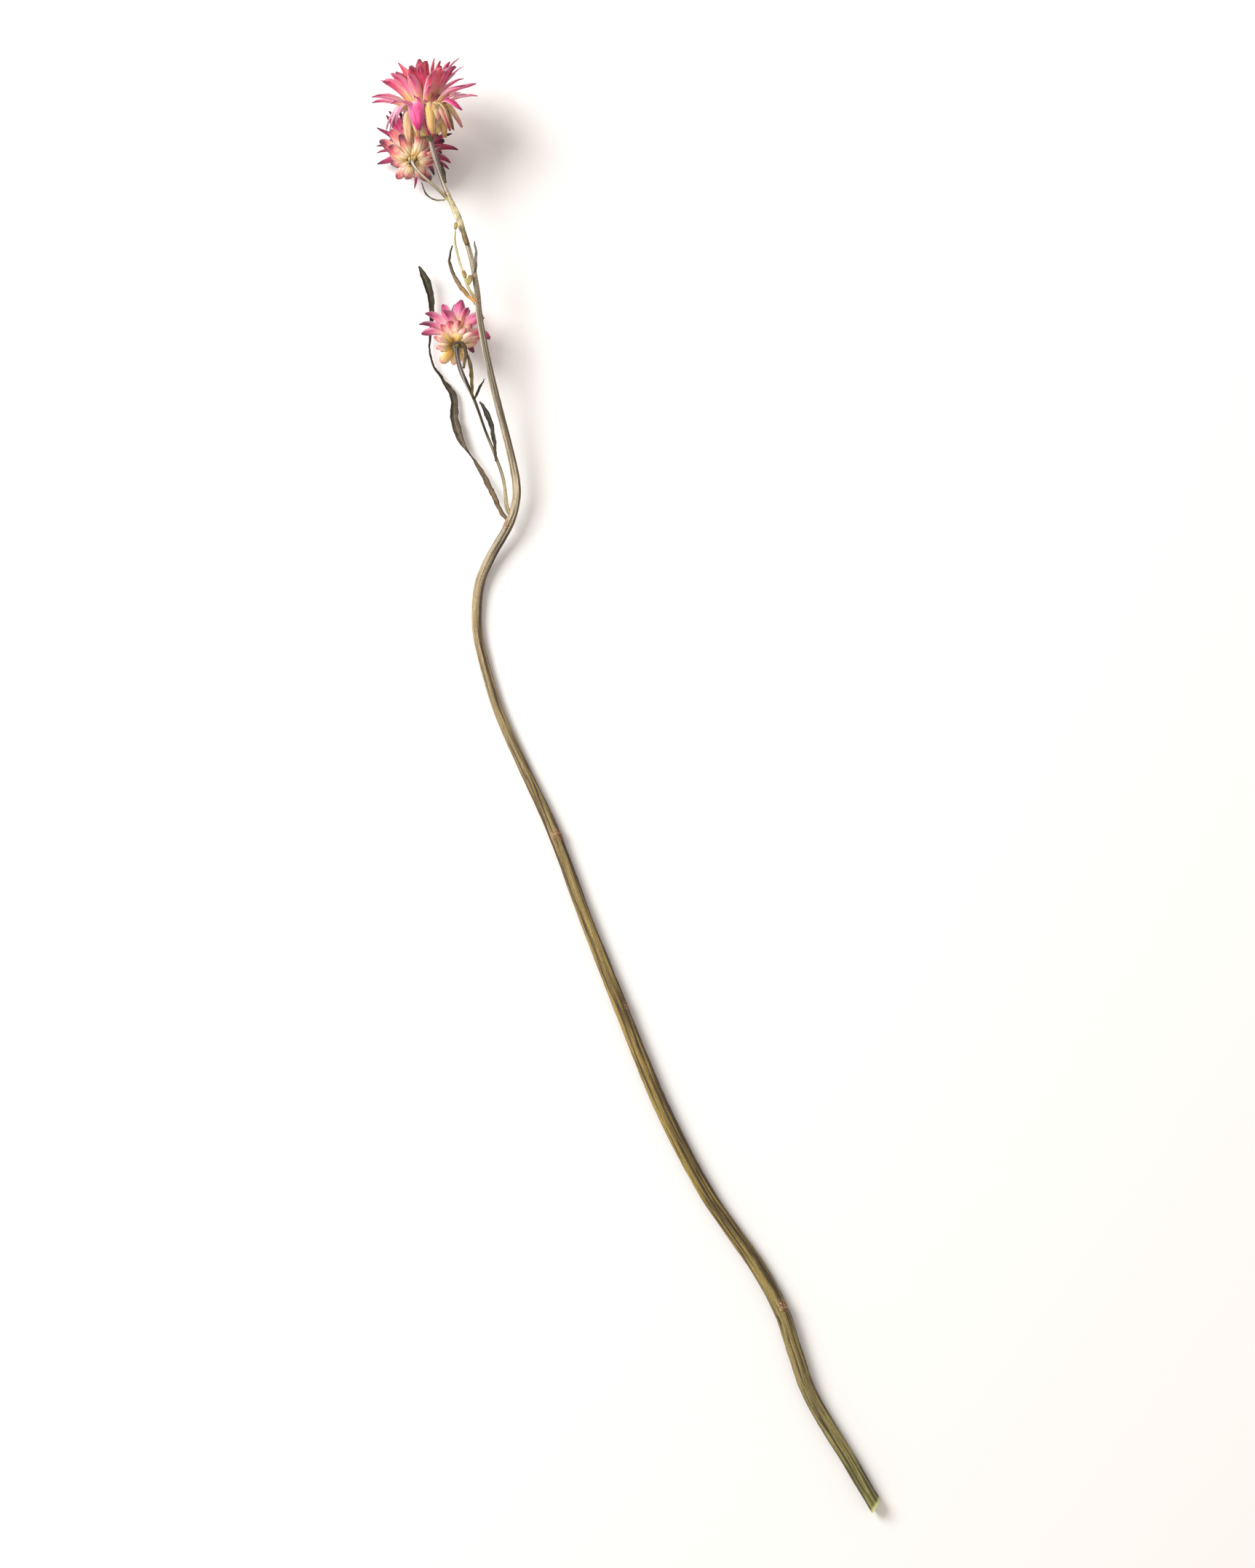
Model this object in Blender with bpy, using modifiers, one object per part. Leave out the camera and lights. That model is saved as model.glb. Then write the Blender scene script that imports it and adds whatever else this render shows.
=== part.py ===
"""A dried strawflower: one cut stem lying on a flat surface, with its side stems, leaves and three flower heads.

Metres, +Z up. The surface is z = 0, the stem runs towards +Y from its cut end, and the origin is the middle of
the ground that the plant covers. Routes and profiles are written in millimetres.
"""

from math import cos, pi, radians, sin

import bmesh
import bpy
from mathutils import Matrix, Vector

MM = 0.001
FOOTPRINT_CENTRE = (1.22, -0.79)

# Main stem, from the cut end to the upper head: x, y, height of the centre line, diameter.
# It touches the surface as far as the second bend, then climbs over the lower head.
MAIN_STEM = [
    (68.6, -196.4, 2.0, 4.0),
    (62.2, -185.6, 2.05, 4.1),
    (51.2, -167.2, 2.05, 4.1),
    (46.6, -154.8, 2.1, 4.2),
    (43.0, -143.8, 2.1, 4.2),
    (36.0, -130.9, 2.1, 4.2),
    (22.8, -111.9, 2.05, 4.1),
    (10.5, -88.3, 2.05, 4.1),
    (0.0, -62.7, 2.0, 4.0),
    (-10.2, -36.9, 1.8, 3.6),
    (-18.7, -14.0, 1.7, 3.4),
    (-27.5, 5.0, 1.5, 3.0),
    (-33.8, 19.5, 1.4, 2.8),
    (-38.2, 34.4, 1.35, 2.7),
    (-39.6, 43.5, 1.35, 2.7),
    (-38.8, 53.4, 1.8, 2.7),
    (-35.6, 61.0, 2.7, 2.6),
    (-30.9, 69.2, 4.2, 2.5),
    (-29.1, 74.8, 5.1, 2.4),
    (-28.8, 80.0, 6.0, 2.3),
    (-30.2, 87.6, 7.6, 2.2),
    (-33.6, 101.2, 10.8, 2.0),
    (-36.3, 112.5, 13.6, 1.9),
    (-38.5, 124.0, 15.6, 1.8),
    (-39.3, 132.0, 16.1, 1.8),
    (-41.0, 141.4, 16.0, 1.7),
    (-43.7, 149.9, 15.8, 1.6),
    (-47.0, 157.6, 16.1, 1.5),
    (-49.0, 162.8, 17.2, 1.4),
    (-50.9, 168.9, 19.8, 1.3),
    (-51.7, 172.4, 21.0, 1.3),
]

# Side stems: the same four numbers a point, from where each leaves the main stem to its head.
LOWER_SIDE_STEM = [
    (-31.5, 73.4, 5.2, 1.5),
    (-31.9, 79.2, 6.0, 1.4),
    (-32.8, 83.3, 6.6, 1.3),
    (-35.3, 90.0, 7.9, 1.2),
    (-37.3, 95.0, 9.3, 1.2),
    (-39.9, 102.3, 11.8, 1.2),
    (-43.2, 109.5, 13.9, 1.3),
    (-44.4, 113.5, 14.9, 1.3),
    (-44.8, 116.6, 14.2, 1.4),
]
NODDING_SIDE_STEM = [
    (-48.9, 157.8, 17.4, 1.1),
    (-51.7, 160.6, 18.9, 1.1),
    (-54.0, 162.9, 19.3, 1.2),
    (-56.0, 165.2, 18.3, 1.2),
    (-56.7, 166.4, 16.4, 1.2),
]
SIDE_SHOOT = [
    (-41.0, 131.2, 16.6, 0.8),
    (-42.6, 135.6, 17.3, 0.8),
    (-44.2, 140.6, 17.8, 0.7),
    (-45.2, 145.2, 18.1, 0.7),
    (-45.0, 149.0, 18.3, 0.6),
]

# Leaves: x, y, height, width, and the roll of the blade about its own line in degrees.
LEAVES = {
    "leaf_long_twisted": [
        (-32.6, 71.6, 3.9, 0.9, 20),
        (-34.6, 76.8, 3.4, 1.8, 35),
        (-37.0, 81.7, 2.8, 2.8, 40),
        (-39.4, 85.9, 2.2, 2.6, 60),
        (-41.8, 89.2, 1.9, 2.2, 100),
        (-44.1, 93.4, 1.7, 2.2, 150),
        (-45.7, 98.5, 1.6, 2.1, 185),
        (-45.9, 103.9, 1.6, 1.8, 200),
        (-48.6, 108.2, 1.6, 1.5, 230),
        (-51.4, 112.6, 1.6, 1.2, 250),
        (-52.4, 117.4, 1.7, 1.2, 240),
        (-52.0, 124.0, 2.0, 1.3, 220),
        (-52.0, 130.5, 3.0, 2.0, 200),
        (-53.4, 135.6, 4.0, 2.6, 185),
        (-55.2, 139.0, 4.6, 0.6, 180),
    ],
    "leaf_along_side_stem": [
        (-34.7, 86.6, 9.0, 0.8, 60),
        (-34.8, 93.2, 10.2, 1.3, 40),
        (-36.2, 98.2, 11.8, 1.6, 30),
        (-38.0, 102.2, 13.0, 0.8, 20),
    ],
    "leaf_spike": [
        (-38.9, 104.2, 13.2, 0.7, 70),
        (-38.3, 106.4, 13.9, 0.9, 50),
        (-37.4, 108.4, 14.2, 0.4, 40),
    ],
    "leaf_below_head": [
        (-40.3, 104.6, 13.8, 0.9, 60),
        (-40.6, 108.4, 15.0, 1.8, 50),
        (-41.0, 112.2, 16.0, 1.8, 30),
        (-41.9, 114.6, 16.4, 0.6, 20),
    ],
    "leaf_stub": [
        (-42.9, 112.6, 17.3, 0.9, 20),
        (-42.6, 115.6, 18.2, 1.1, 10),
        (-42.5, 118.2, 18.6, 0.9, 0),
    ],
    "leaf_at_node": [
        (-41.0, 129.4, 15.2, 0.8, -20),
        (-42.6, 131.8, 14.8, 1.6, -20),
        (-44.6, 134.6, 14.4, 1.7, -25),
        (-46.2, 137.6, 14.2, 1.6, -50),
        (-46.9, 140.6, 14.4, 1.6, -70),
        (-45.9, 144.2, 15.0, 0.4, -60),
    ],
    "leaf_pointed": [
        (-39.4, 138.0, 17.6, 0.7, 40),
        (-39.4, 141.4, 18.4, 1.2, 30),
        (-40.0, 144.8, 19.0, 0.3, 20),
    ],
    "leaf_clasping": [
        (-42.2, 145.0, 17.5, 1.2, 0),
        (-43.8, 150.0, 17.3, 2.4, 0),
        (-45.6, 154.2, 17.4, 2.4, 0),
        (-47.2, 157.4, 17.8, 0.5, 0),
    ],
    "leaf_curled": [
        (-48.9, 155.9, 15.8, 0.6, 60),
        (-51.2, 156.8, 15.6, 1.0, 60),
        (-53.2, 158.6, 15.9, 0.8, 80),
        (-54.2, 161.2, 16.6, 0.4, 90),
    ],
    "leaf_under_head": [
        (-47.5, 161.2, 17.6, 0.8, 0),
        (-48.3, 163.8, 18.6, 1.2, 0),
        (-49.0, 166.4, 20.0, 0.4, 0),
    ],
}
LEAF_THICKNESS = 0.3
LEAF_FOLD = 0.18

# Flower heads: where the head sits on its stem, which way it faces, its size against the upper head, and the
# reach of its inner bracts out from and along its axis.
HEADS = {
    "upper_head": {"base": (-51.8, 172.8, 21.1), "axis": (-0.17, 0.98, 0.0), "size": 1.0, "tips": (7.8, 22.0)},
    "nodding_head": {"base": (-56.7, 166.8, 15.53), "axis": (0.06, 0.53, -0.85), "size": 0.86, "tips": (9.5, 13.6)},
    "lower_head": {"base": (-44.9, 117.1, 13.72), "axis": (-0.02, 0.70, -0.71), "size": 0.68, "tips": (7.8, 20.5)},
}

# Turned shapes of a head of size 1: distance from the axis, distance along it.
RECEPTACLE_PROFILE = [(0.0, 4.1), (2.3, 3.9), (2.6, 3.2), (2.2, 2.0), (1.5, 0.7), (1.0, 0.0), (0.0, 0.0)]
DISC_PROFILE = [(0.0, 11.3), (1.4, 11.1), (2.4, 10.2), (2.7, 8.6), (2.6, 6.0), (2.2, 4.5), (0.0, 4.5)]
TURNED_STEPS = 12

# Whorls of bracts of a head of size 1, from the stem outwards: how many, how wide, and the line of one bract as
# distance from the axis and along it. The inner bracts end at the head's own tips.
WHORLS = {
    "base_scales": {"count": 8, "width": 2.2, "line": [(1.8, 0.1), (3.4, -0.1), (4.8, 1.0)]},
    "outer_bracts": {"count": 9, "width": 3.8, "line": [(2.6, 0.6), (4.6, 1.9), (5.5, 5.2), (6.0, 8.0)]},
    "middle_bracts": {"count": 10, "width": 3.6, "line": [(3.1, 1.7), (4.6, 5.4), (5.2, 8.8), (6.9, 10.6)]},
    "spreading_bracts": {
        "count": 12,
        "width": 2.8,
        "line": [(3.0, 2.9), (4.2, 8.9), (5.9, 11.2), (9.5, 12.2), (14.0, 12.4)],
    },
    "inner_bracts": {"count": 12, "width": 3.4, "line": [(2.65, 3.9), (3.1, 7.0), (3.6, 10.2)]},
}
BRACT_THICKNESS = 0.3
BRACT_ROOM = 0.9
BRACT_CUP = 0.12

# Share of a bract's full width in each row above its two lowest, for bracts of 3, 4 and 5 rows.
BRACT_SHAPE = {3: (0.3,), 4: (1.0, 0.35), 5: (1.0, 0.95, 0.2)}

# Colour and roughness of each kind of piece.
FINISHES = {
    "stem": ((0.36, 0.26, 0.12), 0.75),
    "leaf": ((0.16, 0.13, 0.08), 0.85),
    "receptacle": ((0.45, 0.36, 0.16), 0.8),
    "disc_florets": ((0.55, 0.30, 0.05), 0.8),
    "base_scales": ((0.18, 0.15, 0.06), 0.6),
    "outer_bracts": ((0.76, 0.56, 0.24), 0.4),
    "middle_bracts": ((0.80, 0.42, 0.28), 0.4),
    "spreading_bracts": ((0.72, 0.12, 0.25), 0.35),
    "inner_bracts": ((0.66, 0.08, 0.15), 0.35),
}


def clear_scene():
    for old in list(bpy.data.objects):
        bpy.data.objects.remove(old)


def new_collection(name):
    collection = bpy.data.collections.new(name)
    bpy.context.scene.collection.children.link(collection)
    return collection


def add_empty(name, location, axis, parent=None):
    """An empty that stands at a place, in millimetres, with its own +Z along the axis."""
    empty = bpy.data.objects.new(name, None)
    empty.location = Vector(location) * MM
    empty.rotation_euler = Vector((0, 0, 1)).rotation_difference(Vector(axis)).to_euler()
    empty.parent = parent
    plant.objects.link(empty)
    return empty


def dried_material(name, kind):
    colour, roughness = FINISHES[kind]
    material = bpy.data.materials.new(name)
    material.use_nodes = True
    shader = material.node_tree.nodes["Principled BSDF"]
    shader.inputs["Base Color"].default_value = (*colour, 1.0)
    shader.inputs["Roughness"].default_value = roughness
    shader.inputs["Metallic"].default_value = 0.0
    return material


def add_part(name, data, kind, parent):
    part = bpy.data.objects.new(name, data)
    part.data.materials.append(dried_material(name, kind))
    part.parent = parent
    plant.objects.link(part)
    return part


def smooth_route(route, spacing):
    """Points read from a smooth curve through the route's own points, about a spacing apart."""
    points = [Vector(p) for p in route]
    ends = [2 * points[0] - points[1], *points, 2 * points[-1] - points[-2]]
    smooth = []
    for before, start, end, after in zip(ends, ends[1:], ends[2:], ends[3:]):
        steps = max(1, round((end - start).length / spacing))
        for step in range(steps):
            t = step / steps
            smooth.append(
                0.5
                * (
                    2 * start
                    + (end - before) * t
                    + (2 * before - 5 * start + 4 * end - after) * t**2
                    + (3 * start - before - 3 * end + after) * t**3
                )
            )
    return [*smooth, points[-1]]


def add_stem(name, route, spacing):
    """A tapering stem: a curve whose radius at each point is half the route's diameter."""
    curve = bpy.data.curves.new(name, "CURVE")
    curve.dimensions = "3D"
    curve.bevel_depth = MM / 2
    curve.bevel_resolution = 2
    curve.use_fill_caps = True
    points = smooth_route(route, spacing)
    spline = curve.splines.new("POLY")
    spline.points.add(len(points) - 1)
    for point, (x, y, z, diameter) in zip(spline.points, points):
        point.co = (x * MM, y * MM, z * MM, 1)
        point.radius = diameter
    return add_part(name, curve, "stem", strawflower)


def add_solidify(part, thickness):
    wall = part.modifiers.new("thickness", "SOLIDIFY")
    wall.thickness = thickness
    wall.offset = 0.0


def add_leaf(name, route):
    """A folded blade that follows its route and rolls about it."""
    mesh = bmesh.new()
    bmesh.ops.create_grid(mesh, x_segments=2, y_segments=len(route) - 1, size=1)
    grid = sorted(mesh.verts, key=lambda vert: (vert.co.y, vert.co.x))
    places = [Vector(point[:3]) for point in route]
    for row, (*_, width, roll) in enumerate(route):
        ahead = places[min(row + 1, len(route) - 1)]
        along = (ahead - places[max(row - 1, 0)]).normalized()
        level = along.cross(Vector((0, 0, 1))).normalized()
        across = Matrix.Rotation(radians(roll), 3, along) @ level
        upward = across.cross(along)
        for column in range(3):
            side = column - 1
            fold = LEAF_FOLD * width * abs(side)
            vert = grid[3 * row + column]
            vert.co = (places[row] + across * (side * width / 2) + upward * fold) * MM
    data = bpy.data.meshes.new(name)
    mesh.to_mesh(data)
    mesh.free()
    leaf = add_part(name, data, "leaf", strawflower)
    add_solidify(leaf, LEAF_THICKNESS * MM)


def add_turned(head, kind, profile):
    """A round piece on the head's axis: its profile, run from the tip down, turned about the axis."""
    size = HEADS[head]["size"] * MM
    name = f"{head}_{kind}"
    outline = bpy.data.meshes.new(name)
    points = [(r * size, 0, z * size) for r, z in profile]
    outline.from_pydata(points, [(i, i + 1) for i in range(len(points) - 1)], [])
    part = add_part(name, outline, kind, head_places[head])
    turn = part.modifiers.new("turn", "SCREW")
    turn.steps = TURNED_STEPS
    turn.render_steps = TURNED_STEPS
    turn.use_merge_vertices = True
    turn.merge_threshold = 0.00001
    turn.use_smooth_shade = True


def bract_line(head, kind):
    """The line of one bract. The inner bracts lean out to the head's own tips."""
    line = list(WHORLS[kind]["line"])
    if kind == "inner_bracts":
        tip_out, tip_along = HEADS[head]["tips"]
        waist_out, waist_along = line[-1]
        line.append((waist_out + 0.38 * (tip_out - waist_out), waist_along + 0.55 * (tip_along - waist_along)))
        line.append((tip_out, tip_along))
    return line


def add_whorl(head, kind):
    """One whorl: bracts side by side round the axis, grown together in their lowest row."""
    whorl = WHORLS[kind]
    line = bract_line(head, kind)
    size = HEADS[head]["size"] * MM
    share = pi / whorl["count"]
    mesh = bmesh.new()
    for bract in range(whorl["count"]):
        old = set(mesh.verts)
        bmesh.ops.create_grid(mesh, x_segments=2, y_segments=len(line) - 1, size=1)
        grid = sorted(set(mesh.verts) - old, key=lambda vert: (vert.co.y, vert.co.x))
        for row, (out, along) in enumerate(line):
            half = share
            if row > 1:
                half = min(whorl["width"] * BRACT_SHAPE[len(line)][row - 2] / 2 / out, BRACT_ROOM * share)
            for column in range(3):
                turn = 2 * share * bract + half * (column - 1)
                reach = out * (1 + (BRACT_CUP * half if column == 1 and row > 0 else 0.0))
                grid[3 * row + column].co = Vector((reach * cos(turn), reach * sin(turn), along)) * size
    bmesh.ops.remove_doubles(mesh, verts=mesh.verts, dist=0.00001)
    bmesh.ops.recalc_face_normals(mesh, faces=mesh.faces)
    name = f"{head}_{kind}"
    data = bpy.data.meshes.new(name)
    mesh.to_mesh(data)
    mesh.free()
    part = add_part(name, data, kind, head_places[head])
    add_solidify(part, BRACT_THICKNESS * size)


clear_scene()
plant = new_collection("strawflower")
strawflower = add_empty("strawflower", (-FOOTPRINT_CENTRE[0], -FOOTPRINT_CENTRE[1], 0.0), (0, 0, 1))
head_places = {
    name: add_empty(f"{name}_place", head["base"], head["axis"], strawflower) for name, head in HEADS.items()
}

add_stem("main_stem", MAIN_STEM, 8.0)
add_stem("lower_side_stem", LOWER_SIDE_STEM, 3.0)
add_stem("nodding_side_stem", NODDING_SIDE_STEM, 1.5)
add_stem("side_shoot", SIDE_SHOOT, 2.5)
for leaf_name, leaf_route in LEAVES.items():
    add_leaf(leaf_name, leaf_route)
for head_name in HEADS:
    add_turned(head_name, "receptacle", RECEPTACLE_PROFILE)
    add_turned(head_name, "disc_florets", DISC_PROFILE)
    for whorl_kind in WHORLS:
        add_whorl(head_name, whorl_kind)
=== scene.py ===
from math import pi, radians

import bpy
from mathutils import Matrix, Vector


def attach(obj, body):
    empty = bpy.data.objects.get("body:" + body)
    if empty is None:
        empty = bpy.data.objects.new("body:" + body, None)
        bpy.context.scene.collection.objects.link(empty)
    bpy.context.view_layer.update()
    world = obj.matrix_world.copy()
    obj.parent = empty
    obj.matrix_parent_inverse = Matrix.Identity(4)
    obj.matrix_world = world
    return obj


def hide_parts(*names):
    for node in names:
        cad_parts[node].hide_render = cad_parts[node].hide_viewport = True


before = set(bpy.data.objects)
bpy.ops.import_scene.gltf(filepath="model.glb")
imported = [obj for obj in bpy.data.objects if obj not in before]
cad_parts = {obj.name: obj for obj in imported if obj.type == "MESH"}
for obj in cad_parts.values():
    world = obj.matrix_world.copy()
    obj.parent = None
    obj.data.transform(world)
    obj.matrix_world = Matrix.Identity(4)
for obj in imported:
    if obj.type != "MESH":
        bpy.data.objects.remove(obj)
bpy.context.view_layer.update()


# Main stem. It is woody and ribbed round a soft pith, and it dried in long waves after it was cut at a slant.
# It grew in one piece, so it tapers from the cut to the upper head and swells a little at each node.
# The side towards the key light has painted light in pale straw, and the flanks have painted shade in brown.

MM = 0.001

# The middle of the ground that the plant covers, in the millimetres of the routes below.
GROUND_CENTRE = Vector((1.22, -0.79, 0.0))

# x, y, height of the centre line and diameter, in millimetres, from the cut end to the upper head.
MAIN_STEM = [
    (68.6, -196.4, 2.0, 4.0),
    (62.2, -185.6, 2.05, 4.1),
    (51.2, -167.2, 2.05, 4.1),
    (46.6, -154.8, 2.1, 4.2),
    (43.0, -143.8, 2.1, 4.2),
    (36.0, -130.9, 2.1, 4.2),
    (22.8, -111.9, 2.05, 4.1),
    (10.5, -88.3, 2.05, 4.1),
    (0.0, -62.7, 2.0, 4.0),
    (-10.2, -36.9, 1.8, 3.6),
    (-18.7, -14.0, 1.7, 3.4),
    (-27.5, 5.0, 1.5, 3.0),
    (-33.8, 19.5, 1.4, 2.8),
    (-38.2, 34.4, 1.35, 2.7),
    (-39.6, 43.5, 1.35, 2.7),
    (-38.8, 53.4, 1.8, 2.7),
    (-35.6, 61.0, 2.7, 2.6),
    (-30.9, 69.2, 4.2, 2.5),
    (-29.1, 74.8, 5.1, 2.4),
    (-28.8, 80.0, 6.0, 2.3),
    (-30.2, 87.6, 7.6, 2.2),
    (-33.6, 101.2, 10.8, 2.0),
    (-36.3, 112.5, 13.6, 1.9),
    (-38.5, 124.0, 15.6, 1.8),
    (-39.3, 132.0, 16.1, 1.7),
    (-41.0, 141.4, 16.0, 1.4),
    (-43.7, 149.9, 15.8, 1.4),
    (-47.0, 157.6, 16.1, 1.4),
    (-49.0, 162.8, 17.2, 1.3),
    (-50.9, 168.9, 19.8, 1.3),
    (-51.7, 172.4, 21.0, 1.3),
]

# x, y and height of each old leaf scar or node, how far it reaches along the bark and how high it stands.
KNOTS = [
    (43.6, -142.0, 4.0, 2.6, 0.45),
    (1.6, -60.5, 3.4, 2.0, 0.3),
    (-17.6, -14.6, 3.0, 2.6, 0.5),
    (-31.4, 69.8, 5.0, 2.2, 0.5),
    (-39.6, 129.6, 17.0, 1.8, 0.35),
    (-47.4, 157.4, 17.0, 1.8, 0.35),
]


def colour(code):
    """The linear colour of an sRGB hex code."""
    parts = [int(code[i : i + 2], 16) / 255 for i in (1, 3, 5)]
    return (*[c / 12.92 if c <= 0.04045 else ((c + 0.055) / 1.055) ** 2.4 for c in parts], 1.0)


def plug(tree, value, socket):
    """Fills an input with a value, an output or a node's first output."""
    if isinstance(value, bpy.types.Node):
        value = next(output for output in value.outputs if output.enabled)
    if isinstance(value, bpy.types.NodeSocket):
        tree.links.new(value, socket)
    else:
        socket.default_value = value


def add(tree, kind, inputs=(), stops=(), line=(), **settings):
    """Adds a node with its settings, its colour stops or its curve's line. Inputs come in order or by name.

    A kind may be followed by its operation, as in "Math ADD".
    """
    kind, *operation = kind.split()
    families = ("ShaderNode", "GeometryNode", "FunctionNode")
    node = tree.nodes.new(next(family + kind for family in families if hasattr(bpy.types, family + kind)))
    if operation:
        node.operation = operation[0]
    for name, value in settings.items():
        setattr(node, name, value)
    for _ in stops[2:]:
        node.color_ramp.elements.new(0.5)
    for i, (place, code) in enumerate(stops):
        node.color_ramp.elements[i].position = place
        node.color_ramp.elements[i].color = colour(code)
    for point in line[1:-1]:
        node.mapping.curves[0].points.new(*point)
    for i, point in enumerate(line):
        node.mapping.curves[0].points[i].location = point
    shown = [socket for socket in node.inputs if socket.enabled]
    for key, value in inputs.items() if isinstance(inputs, dict) else enumerate(inputs):
        plug(tree, value, shown[key] if isinstance(key, int) else next(s for s in shown if s.name == key))
    return node


def growth_tree(name, sockets):
    """A geometry tree with named inputs, listed by kind, and a material. Returns it and what it is given."""
    tree = bpy.data.node_groups.new(name, "GeometryNodeTree")
    tree.interface.new_socket(name="Geometry", in_out="OUTPUT", socket_type="NodeSocketGeometry")
    for kind, labels in {"Geometry": ["Geometry"], **sockets, "Material": ["Material"]}.items():
        for label in labels:
            tree.interface.new_socket(name=label, in_out="INPUT", socket_type="NodeSocket" + kind)
    return tree, tree.nodes.new("NodeGroupInput").outputs


def rest_on_surface(tree, geometry, gap):
    """Lifts every point that would sink into the surface, so that the piece is pressed flat there."""
    place = add(tree, "SeparateXYZ", [add(tree, "InputPosition")])
    height = add(tree, "Math MAXIMUM", [place.outputs["Z"], gap * MM])
    lifted = add(tree, "CombineXYZ", [place.outputs["X"], place.outputs["Y"], height])
    return add(tree, "SetPosition", {"Geometry": geometry, "Position": lifted})


def finish_tree(tree, geometry, given):
    """Ends a tree: smooth faces, no instances, and the material."""
    geometry = add(tree, "SetShadeSmooth", [geometry])
    geometry = add(tree, "RealizeInstances", [geometry])
    geometry = add(tree, "SetMaterial", {"Geometry": geometry, "Material": given["Material"]})
    plug(tree, geometry, tree.nodes.new("NodeGroupOutput").inputs[0])
    return tree


def grow(name, tree, source, inputs, wall=0.0):
    """Runs a tree on a source mesh, with a wall if it has one, and returns the result as a plain mesh."""
    holder = bpy.data.objects.new(name, source)
    bpy.context.scene.collection.objects.link(holder)
    growth = holder.modifiers.new("growth", "NODES")
    growth.node_group = tree
    for item in tree.interface.items_tree:
        if item.in_out == "INPUT" and item.name in inputs:
            growth[item.identifier] = inputs[item.name]
    if wall:
        thickness = holder.modifiers.new("thickness", "SOLIDIFY")
        thickness.thickness = wall * MM
        thickness.offset = 1.0
    grown = holder.evaluated_get(bpy.context.evaluated_depsgraph_get())
    mesh = bpy.data.meshes.new_from_object(grown)
    bpy.data.objects.remove(holder)
    piece = bpy.data.objects.new(name, mesh)
    bpy.context.scene.collection.objects.link(piece)
    return piece


def route_mesh(name, route):
    """A line of edges through a route's points, with the radius and the roll at each point as attributes."""
    mesh = bpy.data.meshes.new(name)
    places = [(Vector(point[:3]) - GROUND_CENTRE) * MM for point in route]
    mesh.from_pydata(places, [(i, i + 1) for i in range(len(route) - 1)], [])
    radius = mesh.attributes.new("radius_m", "FLOAT", "POINT")
    roll = mesh.attributes.new("roll", "FLOAT", "POINT")
    for i, point in enumerate(route):
        radius.data[i].value = point[3] / 2 * MM
        roll.data[i].value = radians(point[4]) if len(point) > 4 else 0.0
    return mesh


def keep(piece, slot, *nodes):
    """Lets a piece ride on the plant and stand for its CAD nodes, which it hides. The slot is not used."""
    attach(piece, "root")
    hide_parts(*nodes)


# How wide and how long each pattern of the bark is, in millimetres, and how fine its detail: the wander of the
# ribs, the stretches where a rib fades out, and the lumps of the bark.
RIB_WANDER = (4.2, 34.0, 1.0)
RIB_FADE = (1.8, 14.0, 2.0)
BARK_LUMPS = (0.7, 2.2, 3.0)

# How far the ribs swing as they wander, in radians of their wave.
RIB_SWING = 16.0

# How far along the stem the slant of the cut reaches and how near the surface bark may come, in millimetres.
CUT_REACH = 8.0
BARK_GAP = 0.1

# The side of a stem that faces the key light, up and to the left, which gets painted light.
PAINTED_LIGHT_DIRECTION = (-0.42, 0.1, 0.9)


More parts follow.
